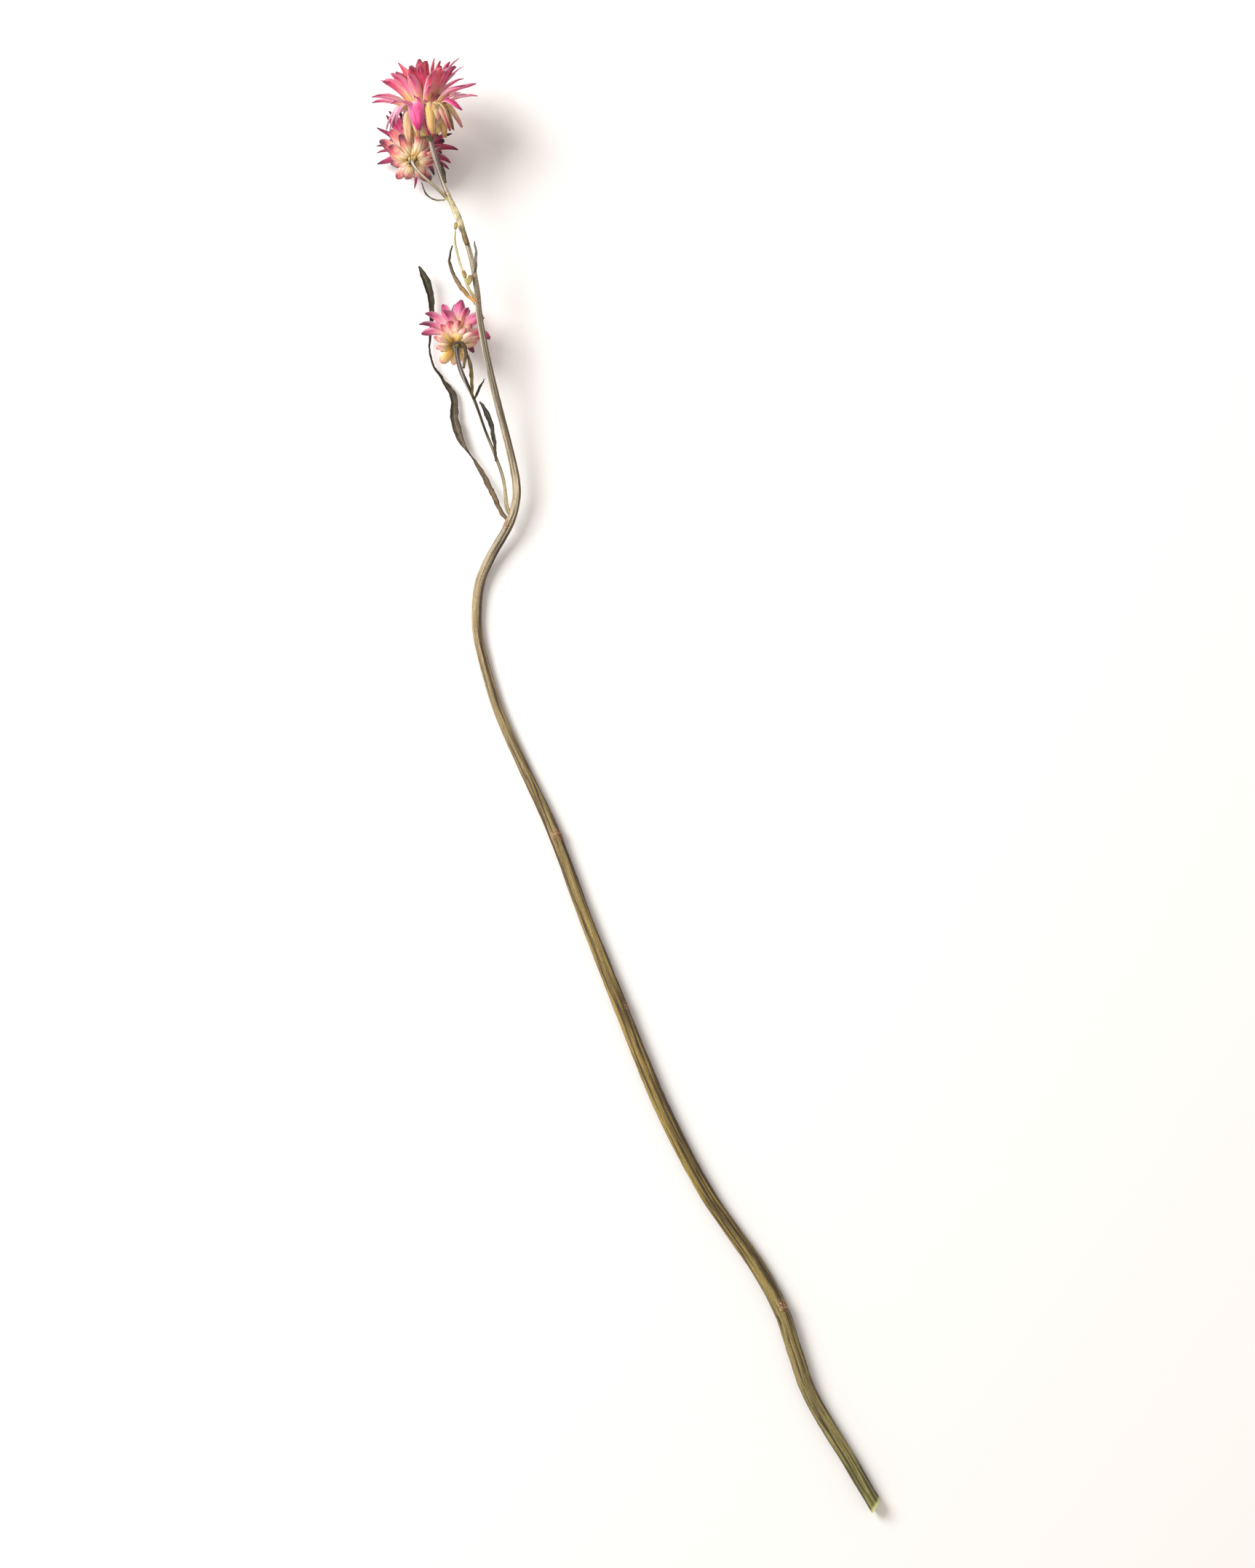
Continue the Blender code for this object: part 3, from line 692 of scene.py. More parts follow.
def floret_tree():
    """Florets on a sunflower spiral: each is a slender tube that ends in a small flared mouth."""
    sockets = {"Int": ["Count"], "Float": ["Spread", "Length", "Foot"], "Vector": ["Seat", "Facing"]}
    tree, given = growth_tree("disc florets", sockets)
    points = add(tree, "MeshLine", {"Count": given["Count"], "Offset": (0.0, 0.0, 0.0)})
    index = add(tree, "InputIndex")
    share = add(tree, "Math ADD", [index, 0.5])
    share = add(tree, "Math DIVIDE", [share, given["Count"]])
    reach = add(tree, "Math POWER", [share, 0.5])
    reach = add(tree, "Math MULTIPLY", [reach, given["Spread"]])
    angle = add(tree, "Math MULTIPLY", [index, GOLDEN_ANGLE])
    foot = add(tree, "CombineXYZ", {"X": reach, "Z": given["Foot"]})
    foot = add(tree, "VectorRotate", {"Vector": foot, "Angle": angle}, rotation_type="Z_AXIS")
    points = add(tree, "SetPosition", {"Geometry": points, "Position": foot})
    own = add(tree, "RandomValue", {"Min": 0.0, "Max": 1.0, "Seed": 4})
    points = add(tree, "StoreNamedAttribute", {"Geometry": points, "Name": "piece", "Value": own})
    radii = {"Radius Top": FLORET_MOUTH * MM, "Radius Bottom": FLORET_NECK * MM}
    tube = add(tree, "MeshCone", {"Vertices": 6, "Side Segments": 3, "Depth": 1.0, **radii})
    lean = add(tree, "VectorMath MULTIPLY", [foot, (FLORET_LEAN / MM, FLORET_LEAN / MM, 0.0)])
    lean = add(tree, "VectorRotate", {"Vector": lean, "Angle": pi / 2}, rotation_type="Z_AXIS")
    varied = add(tree, "RandomValue", {"Min": 0.86, "Max": 1.05, "Seed": 9})
    length = add(tree, "Math MULTIPLY", [given["Length"], varied])
    size = add(tree, "CombineXYZ", [1.0, 1.0, length])
    brush = {"Points": points, "Instance": tube, "Rotation": lean, "Scale": size}
    brush = add(tree, "InstanceOnPoints", brush)
    brush = add(tree, "RealizeInstances", [brush])
    place = seat(tree, given, add(tree, "InputPosition"))
    brush = add(tree, "SetPosition", {"Geometry": brush, "Position": place})
    return finish_tree(tree, brush, given)


# Dry florets are matt golden orange, a little different from one to the next.
yellow, yellow_tree, yellow_shader = new_finish("dried yellow florets")
own_tone = add(yellow_tree, "Attribute", attribute_name="piece").outputs["Fac"]
yellow_stops = [(0.0, "#B9701C"), (0.5, "#E0A032"), (1.0, "#F0C45A")]
own_tone = add(yellow_tree, "ValToRGB", [own_tone], stops=yellow_stops)
plug(yellow_tree, own_tone, yellow_shader.inputs["Base Color"])
yellow_shader.inputs["Roughness"].default_value = 0.8
disc_tree = floret_tree()
for name, head in HEADS.items():
    disc_shape = {
        "Count": FLORETS,
        "Spread": FLORET_SPREAD * head["size"] * MM,
        "Length": FLORET_LENGTH * head["size"] * MM,
        "Foot": FLORET_FOOT * head["size"] * MM,
        "Seat": (Vector(head["base"]) - GROUND_CENTRE) * MM,
        "Facing": head["axis"],
        "Material": yellow,
    }
    name += "_disc_florets"
    keep(grow(name, disc_tree, bpy.data.meshes.new(name), disc_shape), "disc_florets", name)


# Base scales. The lowest and smallest bracts, dark and shrunken, at the joint of the head and its stem.
# They dried green-brown and lie close to the wood, with a few that curl away.
# All the bracts of a head are blades of one kind, so they share the tree and the finish that follow.

# How thick a bract is and how near the surface it may come, in millimetres.
BRACT_THICKNESS = 0.12
BRACT_GAP = 0.3

# The narrowest and widest a bract may be against its kind, and the flattest and deepest its cup.
OWN_WIDTH = (0.68, 1.2)
OWN_CUP = (0.5, 1.5)

# A ripple is 3.8 mm long, and one bract's ripples lie this far from the next one's, so that no two match.
RIPPLES_A_METRE = 260.0
RIPPLE_STEP = 7.3

# The second draw of chances uses seeds this far from the first.
SECOND_DRAW = 50.0


def whorl_tree(name, outline):
    """Bracts round an axis, each a cupped blade along a curve from base over belly to tip, a little untidy."""
    sockets = {
        "Int": ["Count", "Seed"],
        "Float": ["First Turn", "Turn Step", "Width", "Cup", "Roll", "Untidy", "Ripple"],
        "Vector": ["Base", "Belly", "Tip", "Shift", "Seat", "Facing"],
    }
    tree, given = growth_tree(name, sockets)
    points = add(tree, "MeshLine", {"Count": given["Count"], "Offset": (0.0, 0.0, 0.0)})
    index = add(tree, "InputIndex")
    points = add(tree, "StoreNamedAttribute", {"Geometry": points, "Name": "number", "Value": index})
    blade = add(tree, "MeshGrid", {"Size X": 2.0, "Size Y": 1.0, "Vertices X": 5, "Vertices Y": 12})
    bracts = add(tree, "InstanceOnPoints", {"Points": points, "Instance": blade})
    bracts = add(tree, "RealizeInstances", [bracts])
    spot = add(tree, "SeparateXYZ", [add(tree, "InputPosition")])
    across = spot.outputs["X"]
    along = add(tree, "Math ADD", [spot.outputs["Y"], 0.5])
    number = add(tree, "InputNamedAttribute", {"Name": "number"})

    # Each bract's own chances, and the curve that it follows from base over belly to tip.
    chances = []
    for seed_step in (0.0, SECOND_DRAW):
        seed = add(tree, "Math ADD", [given["Seed"], seed_step])
        draw = {"Min": (-1.0, -1.0, -1.0), "Max": (1.0, 1.0, 1.0), "ID": number, "Seed": seed}
        chances.append(add(tree, "RandomValue", draw, data_type="FLOAT_VECTOR"))
    untidy = add(tree, "VectorMath SCALE", [chances[0], given["Untidy"]])
    luck = add(tree, "SeparateXYZ", [chances[1]])
    share = add(tree, "Math DIVIDE", [number, given["Count"]])
    shift = add(tree, "VectorMath SCALE", [given["Shift"], share])
    belly = add(tree, "VectorMath MULTIPLY_ADD", [untidy, (0.3, 0.3, 0.3), given["Belly"]])
    belly = add(tree, "VectorMath MULTIPLY_ADD", [shift, (0.4, 0.4, 0.4), belly])
    tip = add(tree, "VectorMath ADD", [given["Tip"], untidy])
    tip = add(tree, "VectorMath ADD", [tip, shift])
    low = add(tree, "Mix", [along, given["Base"], belly], data_type="VECTOR")
    high = add(tree, "Mix", [along, belly, tip], data_type="VECTOR")
    middle = add(tree, "Mix", [along, low, high], data_type="VECTOR")
    heading = add(tree, "VectorMath SUBTRACT", [high, low])
    heading = add(tree, "VectorMath NORMALIZE", [heading])

    # The blade's width, roll and cup across that curve.
    roll = add(tree, "Math MULTIPLY", [luck.outputs["X"], given["Roll"]])
    roll = add(tree, "Math MULTIPLY", [roll, along])
    rolled = {"Vector": (0.0, 1.0, 0.0), "Axis": heading, "Angle": roll}
    side = add(tree, "VectorRotate", rolled, rotation_type="AXIS_ANGLE")
    inward = add(tree, "VectorMath CROSS_PRODUCT", [heading, side])
    width = add(tree, "FloatCurve", {"Value": along}, line=outline)
    width = add(tree, "Math MULTIPLY", [width, given["Width"]])
    own_width = add(tree, "MapRange", [luck.outputs["Y"], -1.0, 1.0, *OWN_WIDTH])
    width = add(tree, "Math MULTIPLY", [width, own_width])
    reach = add(tree, "Math MULTIPLY", [width, 0.5])
    reach = add(tree, "Math MULTIPLY", [reach, across])
    own_cup = add(tree, "MapRange", [luck.outputs["Z"], -1.0, 1.0, *OWN_CUP])
    own_cup = add(tree, "Math MULTIPLY", [own_cup, given["Cup"]])
    bowl = add(tree, "Math MULTIPLY", [reach, across])
    bowl = add(tree, "Math MULTIPLY", [bowl, own_cup])
    sideways = add(tree, "VectorMath SCALE", [side, reach])
    whole = add(tree, "VectorMath ADD", [middle, sideways])
    cupped = add(tree, "VectorMath SCALE", [inward, bowl])
    whole = add(tree, "VectorMath ADD", [whole, cupped])

    # Ripples that grow towards the tip, and the turn round the head.
    apart = add(tree, "Math MULTIPLY", [number, RIPPLE_STEP])
    stir = {"Vector": whole, "W": apart, "Scale": RIPPLES_A_METRE, "Detail": 1.0}
    stir = add(tree, "TexNoise", stir, noise_dimensions="4D")
    stir = add(tree, "VectorMath SUBTRACT", [stir.outputs["Color"], (0.5, 0.5, 0.5)])
    amount = add(tree, "Math MULTIPLY", [along, given["Ripple"]])
    stir = add(tree, "VectorMath SCALE", [stir, amount])
    whole = add(tree, "VectorMath ADD", [whole, stir])
    angle = add(tree, "Math MULTIPLY_ADD", [number, given["Turn Step"], given["First Turn"]])
    whole = add(tree, "VectorRotate", {"Vector": whole, "Angle": angle}, rotation_type="Z_AXIS")
    own = add(tree, "RandomValue", {"Min": 0.0, "Max": 1.0, "ID": number, "Seed": given["Seed"]})
    for mark, value in (("along", along), ("across", across), ("piece", own)):
        bracts = add(tree, "StoreNamedAttribute", {"Geometry": bracts, "Name": mark, "Value": value})
    bracts = add(tree, "SetPosition", {"Geometry": bracts, "Position": seat(tree, given, whole)})
    return finish_tree(tree, rest_on_surface(tree, bracts, BRACT_GAP), given)


# A middling bract is 9 mm long and 1.2 mm from its middle to its margin. How wide and how long the streaks and
# the blotches on it are comes next, all in millimetres.
BRACT_LENGTH = 9.0
BRACT_HALF_WIDTH = 1.2
STREAKS = (0.1, 7.5)
BLOTCHES = (0.75, 5.0)

# How far apart two bracts' patterns lie, and how quickly bracts take turns between their two lines of colour.
PATTERN_STEP = 40.0
LINE_STEP = 5.37


def bract_finish(name, one, other, edge, edge_share, through=0.25):
    """A dry bract: stiff paper that lets light through, with streaks, pale margins and two lines of colour."""
    material, tree, shader = new_finish(name)
    along, across, piece = [
        add(tree, "Attribute", attribute_name=mark).outputs["Fac"] for mark in ("along", "across", "piece")
    ]
    own = add(tree, "Math MULTIPLY", [piece, PATTERN_STEP])
    noises = []
    for wide, long in (STREAKS, BLOTCHES):
        lane = [
            add(tree, "Math MULTIPLY", [across, BRACT_HALF_WIDTH / wide]),
            add(tree, "Math MULTIPLY", [along, BRACT_LENGTH / long]),
            own,
        ]
        lane = add(tree, "CombineXYZ", lane)
        noises.append(add(tree, "TexNoise", {"Vector": lane, "Scale": 1.0, "Detail": 3.0, "Roughness": 0.6}))
    streak, blotch = noises
    where = along
    for value, low, high, swing in ((streak, 0.3, 0.7, 0.1), (blotch, 0.3, 0.7, 0.16), (piece, 0.0, 1.0, 0.1)):
        drift = add(tree, "MapRange", [value, low, high, -swing, swing])
        where = add(tree, "Math ADD", [where, drift])
    turn = add(tree, "Math MULTIPLY", [piece, LINE_STEP])
    turn = add(tree, "Math FRACT", [turn])
    first = add(tree, "ValToRGB", [where], stops=one)
    second = add(tree, "ValToRGB", [where], stops=other)
    skin = add(tree, "Mix", [turn, first, second], data_type="RGBA")
    rim = add(tree, "Math MULTIPLY", [across, across])
    rim = add(tree, "MapRange", [rim, 0.3, 1.0, 0.0, edge_share])
    fade = add(tree, "MapRange", [along, 0.75, 1.0, 1.0, 0.2])
    rim = add(tree, "Math MULTIPLY", [rim, fade])
    skin = add(tree, "Mix", [rim, skin, colour(edge)], data_type="RGBA")
    tone = add(tree, "MapRange", [streak, 0.32, 0.68, 0.58, 1.6])
    skin = add(tree, "Mix", [1.0, skin, tone], data_type="RGBA", blend_type="MULTIPLY")
    coat(tree, shader, skin, streak, strength=0.8, depth=0.2, roughness=0.36)
    glow = add(tree, "BsdfTranslucent", {"Color": skin})
    sheet = add(tree, "MixShader", [through, shader, glow])
    plug(tree, sheet, tree.nodes["Material Output"].inputs["Surface"])
    return material


def add_bracts(name, node, slot, head, tree, finish, **shape):
    """Grows bracts on a head. Lengths are in millimetres of a head of size 1, in the head's own frame."""
    inputs = {"Turn Step": GOLDEN_ANGLE, "Shift": (0.0, 0.0, 0.0)}
    for label, value in shape.items():
        if isinstance(value, tuple):
            value = Vector(value) * head["size"] * MM
        elif label in ("width", "untidy", "ripple"):
            value *= head["size"] * MM
        inputs[label.replace("_", " ").title()] = value
    inputs |= {"Seat": (Vector(head["base"]) - GROUND_CENTRE) * MM, "Facing": head["axis"], "Material": finish}
    piece = grow(name, tree, bpy.data.meshes.new(name), inputs, wall=BRACT_THICKNESS)
    keep(piece, slot, node)


def add_rows(slot, rows, turn, seed, **shape):
    """Grows a row of bracts on each head. The rows differ in their finish and in some of their lengths."""
    for number, (head, (finish, own)) in enumerate(rows.items()):
        name = f"{head}_{slot}"
        row = {"finish": finish, "first_turn": turn * number, "seed": seed + number, **shape, **own}
        add_bracts(name, name, slot, HEADS[head], **row)


pointed = whorl_tree("pointed bracts", [(0.0, 0.5), (0.35, 0.85), (0.62, 1.0), (0.85, 0.68), (1.0, 0.06)])
# Green-brown scales give the dark ring where a head meets its stem, and hardly let light through.
dark_scales = bract_finish(
    "dried green-brown scales",
    [(0.0, "#7A6C40"), (0.5, "#574630"), (1.0, "#2A1E16")],
    [(0.0, "#A0905C"), (0.5, "#82704A"), (1.0, "#4A3826")],
    "#B4A47C", 0.5, through=0.1,
)
# The nodding head's scales bleached to bright straw with rusty tips.
straw_scales = bract_finish(
    "dried straw scales",
    [(0.0, "#A88440"), (0.5, "#E0BC74"), (1.0, "#D88A66")],
    [(0.0, "#BC9850"), (0.5, "#F0DCA8"), (1.0, "#C06A5C")],
    "#F6E8C4", 0.5,
)
SCALES = {"upper_head": (dark_scales, {}), "nodding_head": (straw_scales, {}), "lower_head": (dark_scales, {})}
add_rows(
    "base_scales", SCALES, turn=0.3, seed=0, tree=pointed, count=9, base=(0.9, 0.0, -0.9),
    belly=(1.6, 0.0, 0.2), tip=(2.3, 0.0, 0.9), shift=(0.2, 0.0, 0.6), width=1.0, cup=0.5, roll=0.9,
    untidy=0.7, ripple=0.6,
)


# Outer bracts. Broad rounded scales of the first rows, thin and dry from the start.
# They overlap like tiles on the belly of the head, and in open heads they spread and bend back.

rounded = whorl_tree("rounded bracts", [(0.0, 0.45), (0.35, 0.85), (0.65, 1.0), (0.88, 0.8), (1.0, 0.3)])
# Amber bracts are golden yellow at the foot and cream to tan at the tip, with pale margins.
amber = bract_finish(
    "amber papery bracts",
    [(0.0, "#C8922E"), (0.3, "#F0BE40"), (0.6, "#F4D070"), (0.85, "#E4B878"), (1.0, "#C08A5C")],
    [(0.0, "#D8AC54"), (0.3, "#F6E0A0"), (0.6, "#FAF0D4"), (0.85, "#F2CCA0"), (1.0, "#DC9C80")],
    "#FCF2D8", 0.5,
)
# Salmon bracts run from a cream foot over coral to wine red tips.
salmon = bract_finish(
    "salmon papery bracts",
    [
        (0.0, "#D8A048"), (0.22, "#F8E0A8"), (0.4, "#F4C498"), (0.6, "#E4746C"), (0.78, "#B83450"),
        (0.93, "#5E1830"),
    ],
    [
        (0.0, "#E4B850"), (0.22, "#FCF0D0"), (0.45, "#FAE0C8"), (0.66, "#E88E80"), (0.82, "#D04C60"),
        (0.96, "#7A1C34"),
    ],
    "#FFF0E0", 0.5,
)
# Golden bracts are strong yellow, some of them flushed with pink at the tip.
golden = bract_finish(
    "golden papery bracts",
    [(0.0, "#B07A28"), (0.3, "#E4B040"), (0.6, "#EEC868"), (0.85, "#F0D090"), (1.0, "#E0A890")],
    [(0.0, "#D0A050"), (0.3, "#F2D49C"), (0.6, "#F8E4DC"), (0.85, "#F6BCC4"), (1.0, "#E07A94")],
    "#FCF0DC", 0.45,
)
OUTER = {
    "upper_head": (amber, {"count": 16, "belly": (4.6, 0.0, 1.6), "tip": (5.6, 0.0, 6.6), "width": 3.4}),
    "nodding_head": (salmon, {"count": 13, "belly": (5.2, 0.0, -0.6), "tip": (7.4, 0.0, 4.2), "width": 3.8}),
    "lower_head": (golden, {"count": 13, "belly": (4.6, 0.0, -1.2), "tip": (8.0, 0.0, 0.4), "width": 4.2}),
}
add_rows(
    "outer_bracts", OUTER, turn=0.7, seed=10, tree=rounded, base=(1.6, 0.0, 0.6), shift=(0.4, 0.0, 1.6),
    cup=0.5, roll=0.7, untidy=2.1, ripple=1.5,
)


# Middle bracts. The next rows, longer and still rounded, cream below with a flush of coral at the tip.
# Most stand close round the belly, and those of the upper head are bent back over it like a skirt.

# Cream bracts are warm white to peach, with coral or wine red tips.
cream = bract_finish(
    "cream papery bracts with coral tips",
    [(0.0, "#D9A846"), (0.3, "#F2D9A8"), (0.6, "#F6DCC4"), (0.82, "#EBA090"), (1.0, "#B8405A")],
    [(0.0, "#E0B04A"), (0.3, "#F0C890"), (0.6, "#EFA898"), (0.82, "#DC6070"), (1.0, "#9A2A48")],
    "#FBEBDD", 0.5,
)
# Olive bracts are bright yellow where they bend and olive to rusty brown at the tip.
olive = bract_finish(
    "olive and rust papery bracts",
    [(0.0, "#F0BE3C"), (0.5, "#F8DC78"), (0.76, "#C09850"), (1.0, "#7A4A2A")],
    [(0.0, "#F0C44C"), (0.5, "#FAE8A4"), (0.76, "#E6DCA8"), (1.0, "#DC8C84")],
    "#FBF2D4", 0.55,
)
MIDDLE = {
    "upper_head": (cream, {"count": 12, "belly": (5.0, 0.0, 5.0), "tip": (6.2, 0.0, 9.6), "untidy": 1.0}),
    "nodding_head": (salmon, {"count": 15, "belly": (5.8, 0.0, 2.4), "tip": (8.8, 0.0, 6.6), "untidy": 2.4}),
    "lower_head": (cream, {"count": 11, "belly": (5.6, 0.0, 1.6), "tip": (8.8, 0.0, 5.0), "untidy": 1.4}),
}
add_rows(
    "middle_bracts", MIDDLE, turn=1.1, seed=20, tree=rounded, base=(2.1, 0.0, 2.0), shift=(0.4, 0.0, 1.4),
    width=4.2, cup=0.5, roll=0.5, ripple=1.2,
)
BENT = {
    "upper_head_bent_bracts": (olive, {"count": 7, "first_turn": radians(-58), "tip": (7.4, 0.0, 2.0)}),
    "upper_head_bent_straw_bracts": (
        amber, {"count": 11, "first_turn": radians(-160), "tip": (6.0, 0.0, 0.2)},
    ),
    "upper_head_bent_cream_bracts": (cream, {"count": 4, "first_turn": radians(-90), "tip": (6.9, 0.0, 1.0)}),
}
for number, (name, (finish, shape)) in enumerate(BENT.items()):
    add_bracts(
        name, "upper_head_middle_bracts", "middle_bracts", HEADS["upper_head"], rounded, finish,
        turn_step=radians(13), base=(2.6, 0.0, 4.0), belly=(6.4, 0.0, 14.4), width=2.8, cup=-0.5,
        roll=1.0, untidy=1.8, ripple=1.6, seed=24 + number, **shape,
    )


# Spreading bracts. Long narrow rays that bend out flat from the waist of the head.
# They are stiff, pink to magenta, with golden feet and pale margins that rolled in as they dried.

narrow = whorl_tree("narrow bracts", [(0.0, 0.7), (0.3, 1.0), (0.6, 0.95), (0.85, 0.6), (1.0, 0.08)])
boat = whorl_tree("boat shaped bracts", [(0.0, 0.6), (0.35, 0.85), (0.72, 1.0), (0.92, 0.74), (1.0, 0.22)])
# Most rays of the upper head are pink with a golden foot and a wine red point.
magenta = bract_finish(
    "pink papery rays",
    [(0.0, "#F0C040"), (0.46, "#FAD070"), (0.58, "#F49CAA"), (0.82, "#EE4C84"), (1.0, "#7E2446")],
    [(0.0, "#F2C850"), (0.46, "#FCE4A4"), (0.58, "#F8BCD0"), (0.82, "#F070A8"), (1.0, "#963058")],
    "#FCE2EE", 0.65,
)
# The bent rays in front are the strongest pink of the plant, almost white where they bend.
hot_pink = bract_finish(
    "hot pink bent rays",
    [
        (0.0, "#F0C040"), (0.44, "#FAE28C"), (0.52, "#FCDCE4"), (0.64, "#E8509A"), (0.82, "#D01C6C"),
        (1.0, "#A83A74"),
    ],
    [
        (0.0, "#F2C850"), (0.44, "#FCEEB8"), (0.52, "#FCCCDC"), (0.64, "#F07CB4"), (0.82, "#DC3480"),
        (1.0, "#B85088"),
    ],
    "#F8B8E0", 0.6,
)
# The drooping rays on the left are pale pink, nearly white at the bend.
pale_pink = bract_finish(
    "pale pink papery rays",
    [(0.0, "#F0C040"), (0.42, "#FAE28C"), (0.55, "#FCEAEC"), (0.8, "#F4B4D0"), (1.0, "#B85C84")],
    [(0.0, "#F2C850"), (0.42, "#FCEEB8"), (0.55, "#FBDCE6"), (0.8, "#EC94BC"), (1.0, "#9C4470")],
    "#FFF2F6", 0.6,
)
# The nodding head's rays are deep crimson with nearly black points.
crimson = bract_finish(
    "crimson papery rays",
    [(0.0, "#D98A5A"), (0.3, "#E0607A"), (0.6, "#D0346C"), (0.85, "#9A2050"), (1.0, "#341024")],
    [(0.0, "#E0A070"), (0.3, "#E88AA0"), (0.6, "#DC5088"), (0.85, "#B03468"), (1.0, "#481830")],
    "#EFB4C8", 0.5,
)
# The lower head's rays are rose pink with golden feet and wine red tips.
blossom = bract_finish(
    "rose pink papery rays",
    [(0.0, "#E9B040"), (0.32, "#F4C46C"), (0.46, "#F4A4A8"), (0.68, "#DE4484"), (0.94, "#742048")],
    [(0.0, "#EBBC50"), (0.32, "#F8D8A0"), (0.46, "#F8C4C8"), (0.7, "#EE7CAC"), (0.96, "#A03462")],
    "#F8D8E4", 0.55,
)
RAYS = {
    "upper_head": (magenta, {"tree": narrow, "count": 13, "tip": (13.8, 0.0, 9.6), "width": 2.2}),
    "nodding_head": (crimson, {"tree": narrow, "count": 18, "tip": (13.0, 0.0, 10.5), "width": 2.5}),
    "lower_head": (blossom, {"tree": boat, "count": 10, "tip": (13.4, 0.0, 8.5), "width": 4.0}),
}
add_rows(
    "spreading_bracts", RAYS, turn=0.5, seed=30, base=(2.4, 0.0, 3.0), belly=(4.8, 0.0, 11.0),
    shift=(0.0, 0.0, 3.0), cup=0.8, roll=0.9, untidy=1.5, ripple=1.2,
)
RAY_GROUPS = {
    "upper_head_front_ray": {
        "finish": hot_pink, "count": 1, "first_turn": radians(-99), "width": 4.3, "cup": -0.35,
        "belly": (7.0, 0.0, 17.0), "tip": (8.4, 0.0, 2.2),
    },
    "upper_head_side_ray": {
        "finish": hot_pink, "count": 1, "first_turn": radians(-22), "width": 3.8, "cup": -0.3,
        "belly": (6.0, 0.0, 14.0), "tip": (11.4, 0.0, 5.4),
    },
    "upper_head_left_rays": {
        "finish": pale_pink, "count": 8, "first_turn": radians(-130), "turn_step": radians(-13),
        "width": 2.0, "cup": -0.3, "belly": (6.6, 0.0, 15.2), "tip": (11.6, 0.0, 4.2),
    },
    "upper_head_right_rays": {
        "finish": magenta, "count": 5, "first_turn": radians(-24), "turn_step": radians(9),
        "width": 1.9, "cup": 0.8, "belly": (4.4, 0.0, 11.0), "tip": (14.0, 0.0, 8.8),
        "shift": (-3.4, 0.0, 13.5),
    },
}
for number, (name, shape) in enumerate(RAY_GROUPS.items()):
    tree = boat if shape["width"] > 3 else narrow
    add_bracts(
        name, "upper_head_spreading_bracts", "spreading_bracts", HEADS["upper_head"], tree,
        base=(3.0, 0.0, 4.0), roll=0.4, untidy=0.5, ripple=0.9, seed=35 + number, **shape,
    )


# Inner bracts. The upright rows round the florets, which closed to a fan when the flower was picked.
# They are the glossiest, rose to coral with golden feet and dark points.

# Rose bracts are coral red in the middle of the fan, with feet of golden cream.
rose = bract_finish(
    "rose papery bracts",
    [
        (0.0, "#F2BE3C"), (0.42, "#FACC68"), (0.54, "#F69482"), (0.72, "#EA5070"), (0.92, "#D83A58"),
        (1.0, "#7A2038"),
    ],
    [
        (0.0, "#F4C850"), (0.42, "#FCDC98"), (0.54, "#FAB0A0"), (0.72, "#F4788E"), (0.92, "#E85C76"),
        (1.0, "#982C48"),
    ],
    "#FFE0E2", 0.6,
)
# Blush bracts, the outer ones of the fan, are a cooler and lighter pink.
blush = bract_finish(
    "blush pink papery bracts",
    [
        (0.0, "#F2BE3C"), (0.42, "#FCD478"), (0.54, "#F8A49C"), (0.72, "#F26C94"), (0.92, "#E44E74"),
        (1.0, "#8A2848"),
    ],
    [
        (0.0, "#F4C850"), (0.42, "#FCE0A4"), (0.54, "#FABCBC"), (0.72, "#F890B8"), (0.92, "#F06C98"),
        (1.0, "#A03A60"),
    ],
    "#FFE6F0", 0.65,
)
INNER = {
    "upper_head": (rose, {"count": 24, "tip": (8.8, 0.0, 18.2), "width": 3.3, "shift": (-4.4, 0.0, 2.2)}),
    "nodding_head": (crimson, {"count": 22, "tip": (9.3, 0.0, 13.2), "width": 3.4, "shift": (-5.0, 0.0, 0.6)}),
    "lower_head": (blossom, {"count": 8, "tip": (8.8, 0.0, 20.4), "width": 4.7, "shift": (-5.0, 0.0, 0.6)}),
}
add_rows(
    "inner_bracts", INNER, turn=0.2, seed=40, tree=boat, base=(2.5, 0.0, 4.0), belly=(3.8, 0.0, 12.0),
    cup=0.55, roll=0.5, untidy=1.2, ripple=1.2,
)
add_bracts(
    "upper_head_inner_bracts_pink", "upper_head_inner_bracts", "inner_bracts", HEADS["upper_head"], boat,
    blush, count=16, first_turn=0.4, base=(2.5, 0.0, 4.0), belly=(3.9, 0.0, 12.0), tip=(10.8, 0.0, 16.6),
    shift=(-1.2, 0.0, 1.6), width=3.2, cup=0.6, roll=0.6, untidy=1.3, ripple=1.2, seed=45,
)


# Buds. Flower buds that stayed tiny on the side shoot and dried shut, each a few scales round a point.
# They are the youngest part of the plant, so their scales are the smallest and the greenest.

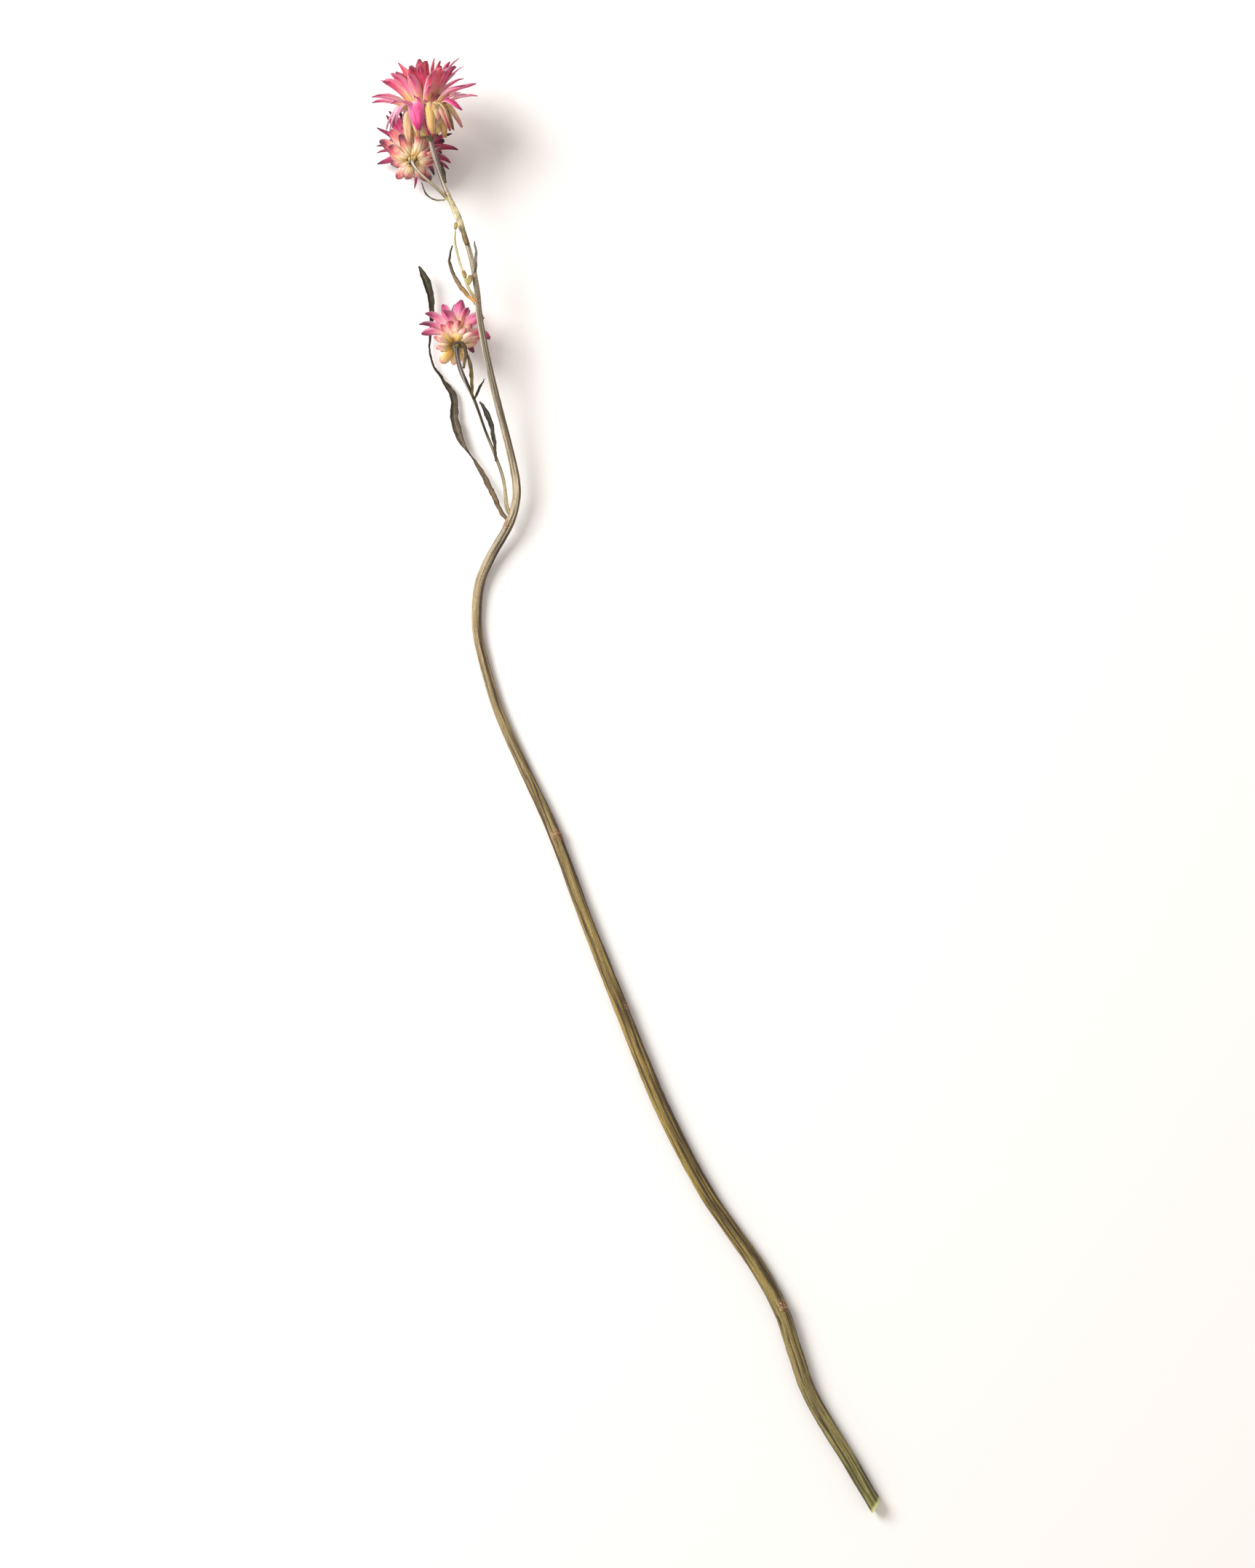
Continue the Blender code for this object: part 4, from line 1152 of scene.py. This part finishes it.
# Bud scales give a dull yellow-green that browns at the tip.
bud_green = bract_finish(
    "dried bud scales",
    [(0.0, "#8A8448"), (0.5, "#B0A456"), (1.0, "#8C6C34")],
    [(0.0, "#9A9050"), (0.5, "#CDBE74"), (1.0, "#A8844A")],
    "#E0D6A0", 0.5, through=0.1,
)
BUDS = {
    "bud_large": {"base": (-41.6, 133.6, 17.5), "axis": (0.25, 0.95, 0.2), "size": 0.2},
    "bud_small": {"base": (-42.3, 135.4, 17.7), "axis": (-0.35, 0.9, 0.3), "size": 0.15},
    "bud_tip": {"base": (-45.1, 148.4, 18.3), "axis": (0.1, 0.98, 0.1), "size": 0.14},
}
for number, (name, bud) in enumerate(BUDS.items()):
    add_bracts(
        name, "side_shoot", "stem", bud, pointed, bud_green, count=9, first_turn=0.0, seed=50 + number,
        base=(0.8, 0.0, 0.0), belly=(4.6, 0.0, 4.0), tip=(1.4, 0.0, 12.0), shift=(0.0, 0.0, 1.5),
        width=4.6, cup=0.6, roll=0.2, untidy=1.0, ripple=0.5,
    )


# Surface, light and camera. A plain white sheet, a big soft light from the upper left and a bright room.
# The camera looks straight down, as in the photograph.

# How much of the surface the picture is high, in metres, and the camera's lens and sensor, in millimetres.
FRAME_HEIGHT = 0.425
LENS = 200.0
SENSOR = 36.0

# The soft light's power in watts, its width and its place in metres, and how bright the room is.
KEY_POWER = 25.0
KEY_WIDTH = 0.8
KEY_PLACE = (-0.95, 0.62, 0.95)
ROOM_BRIGHTNESS = 0.62

floor_mesh = bpy.data.meshes.new("floor")
floor_mesh.from_pydata([(-3, -3, 0), (3, -3, 0), (3, 3, 0), (-3, 3, 0)], [], [(0, 1, 2, 3)])
floor = bpy.data.objects.new("floor", floor_mesh)
bpy.context.scene.collection.objects.link(floor)
# White card gives a quiet, nearly white ground that shows the soft shadows.
card, _, card_shader = new_finish("matt white card")
card_shader.inputs["Base Color"].default_value = colour("#F4F3F1")
card_shader.inputs["Roughness"].default_value = 0.9
floor_mesh.materials.append(card)

key_data = bpy.data.lights.new("key", "AREA")
key_data.energy = KEY_POWER
key_data.size = KEY_WIDTH
key = bpy.data.objects.new("key", key_data)
key.location = KEY_PLACE
key.rotation_euler = (-key.location).to_track_quat("-Z", "Y").to_euler()
bpy.context.scene.collection.objects.link(key)

world = bpy.data.worlds.new("bright room")
bpy.context.scene.world = world
world.use_nodes = True
world.node_tree.nodes["Background"].inputs["Color"].default_value = colour("#FFF6F0")
world.node_tree.nodes["Background"].inputs["Strength"].default_value = ROOM_BRIGHTNESS

camera_data = bpy.data.cameras.new("camera")
camera_data.lens = LENS
camera_data.sensor_width = SENSOR
camera = bpy.data.objects.new("camera", camera_data)
camera.location = (0.0, 0.0, FRAME_HEIGHT * LENS / SENSOR)
bpy.context.scene.collection.objects.link(camera)
bpy.context.scene.camera = camera
bpy.context.scene.view_settings.view_transform = "Standard"
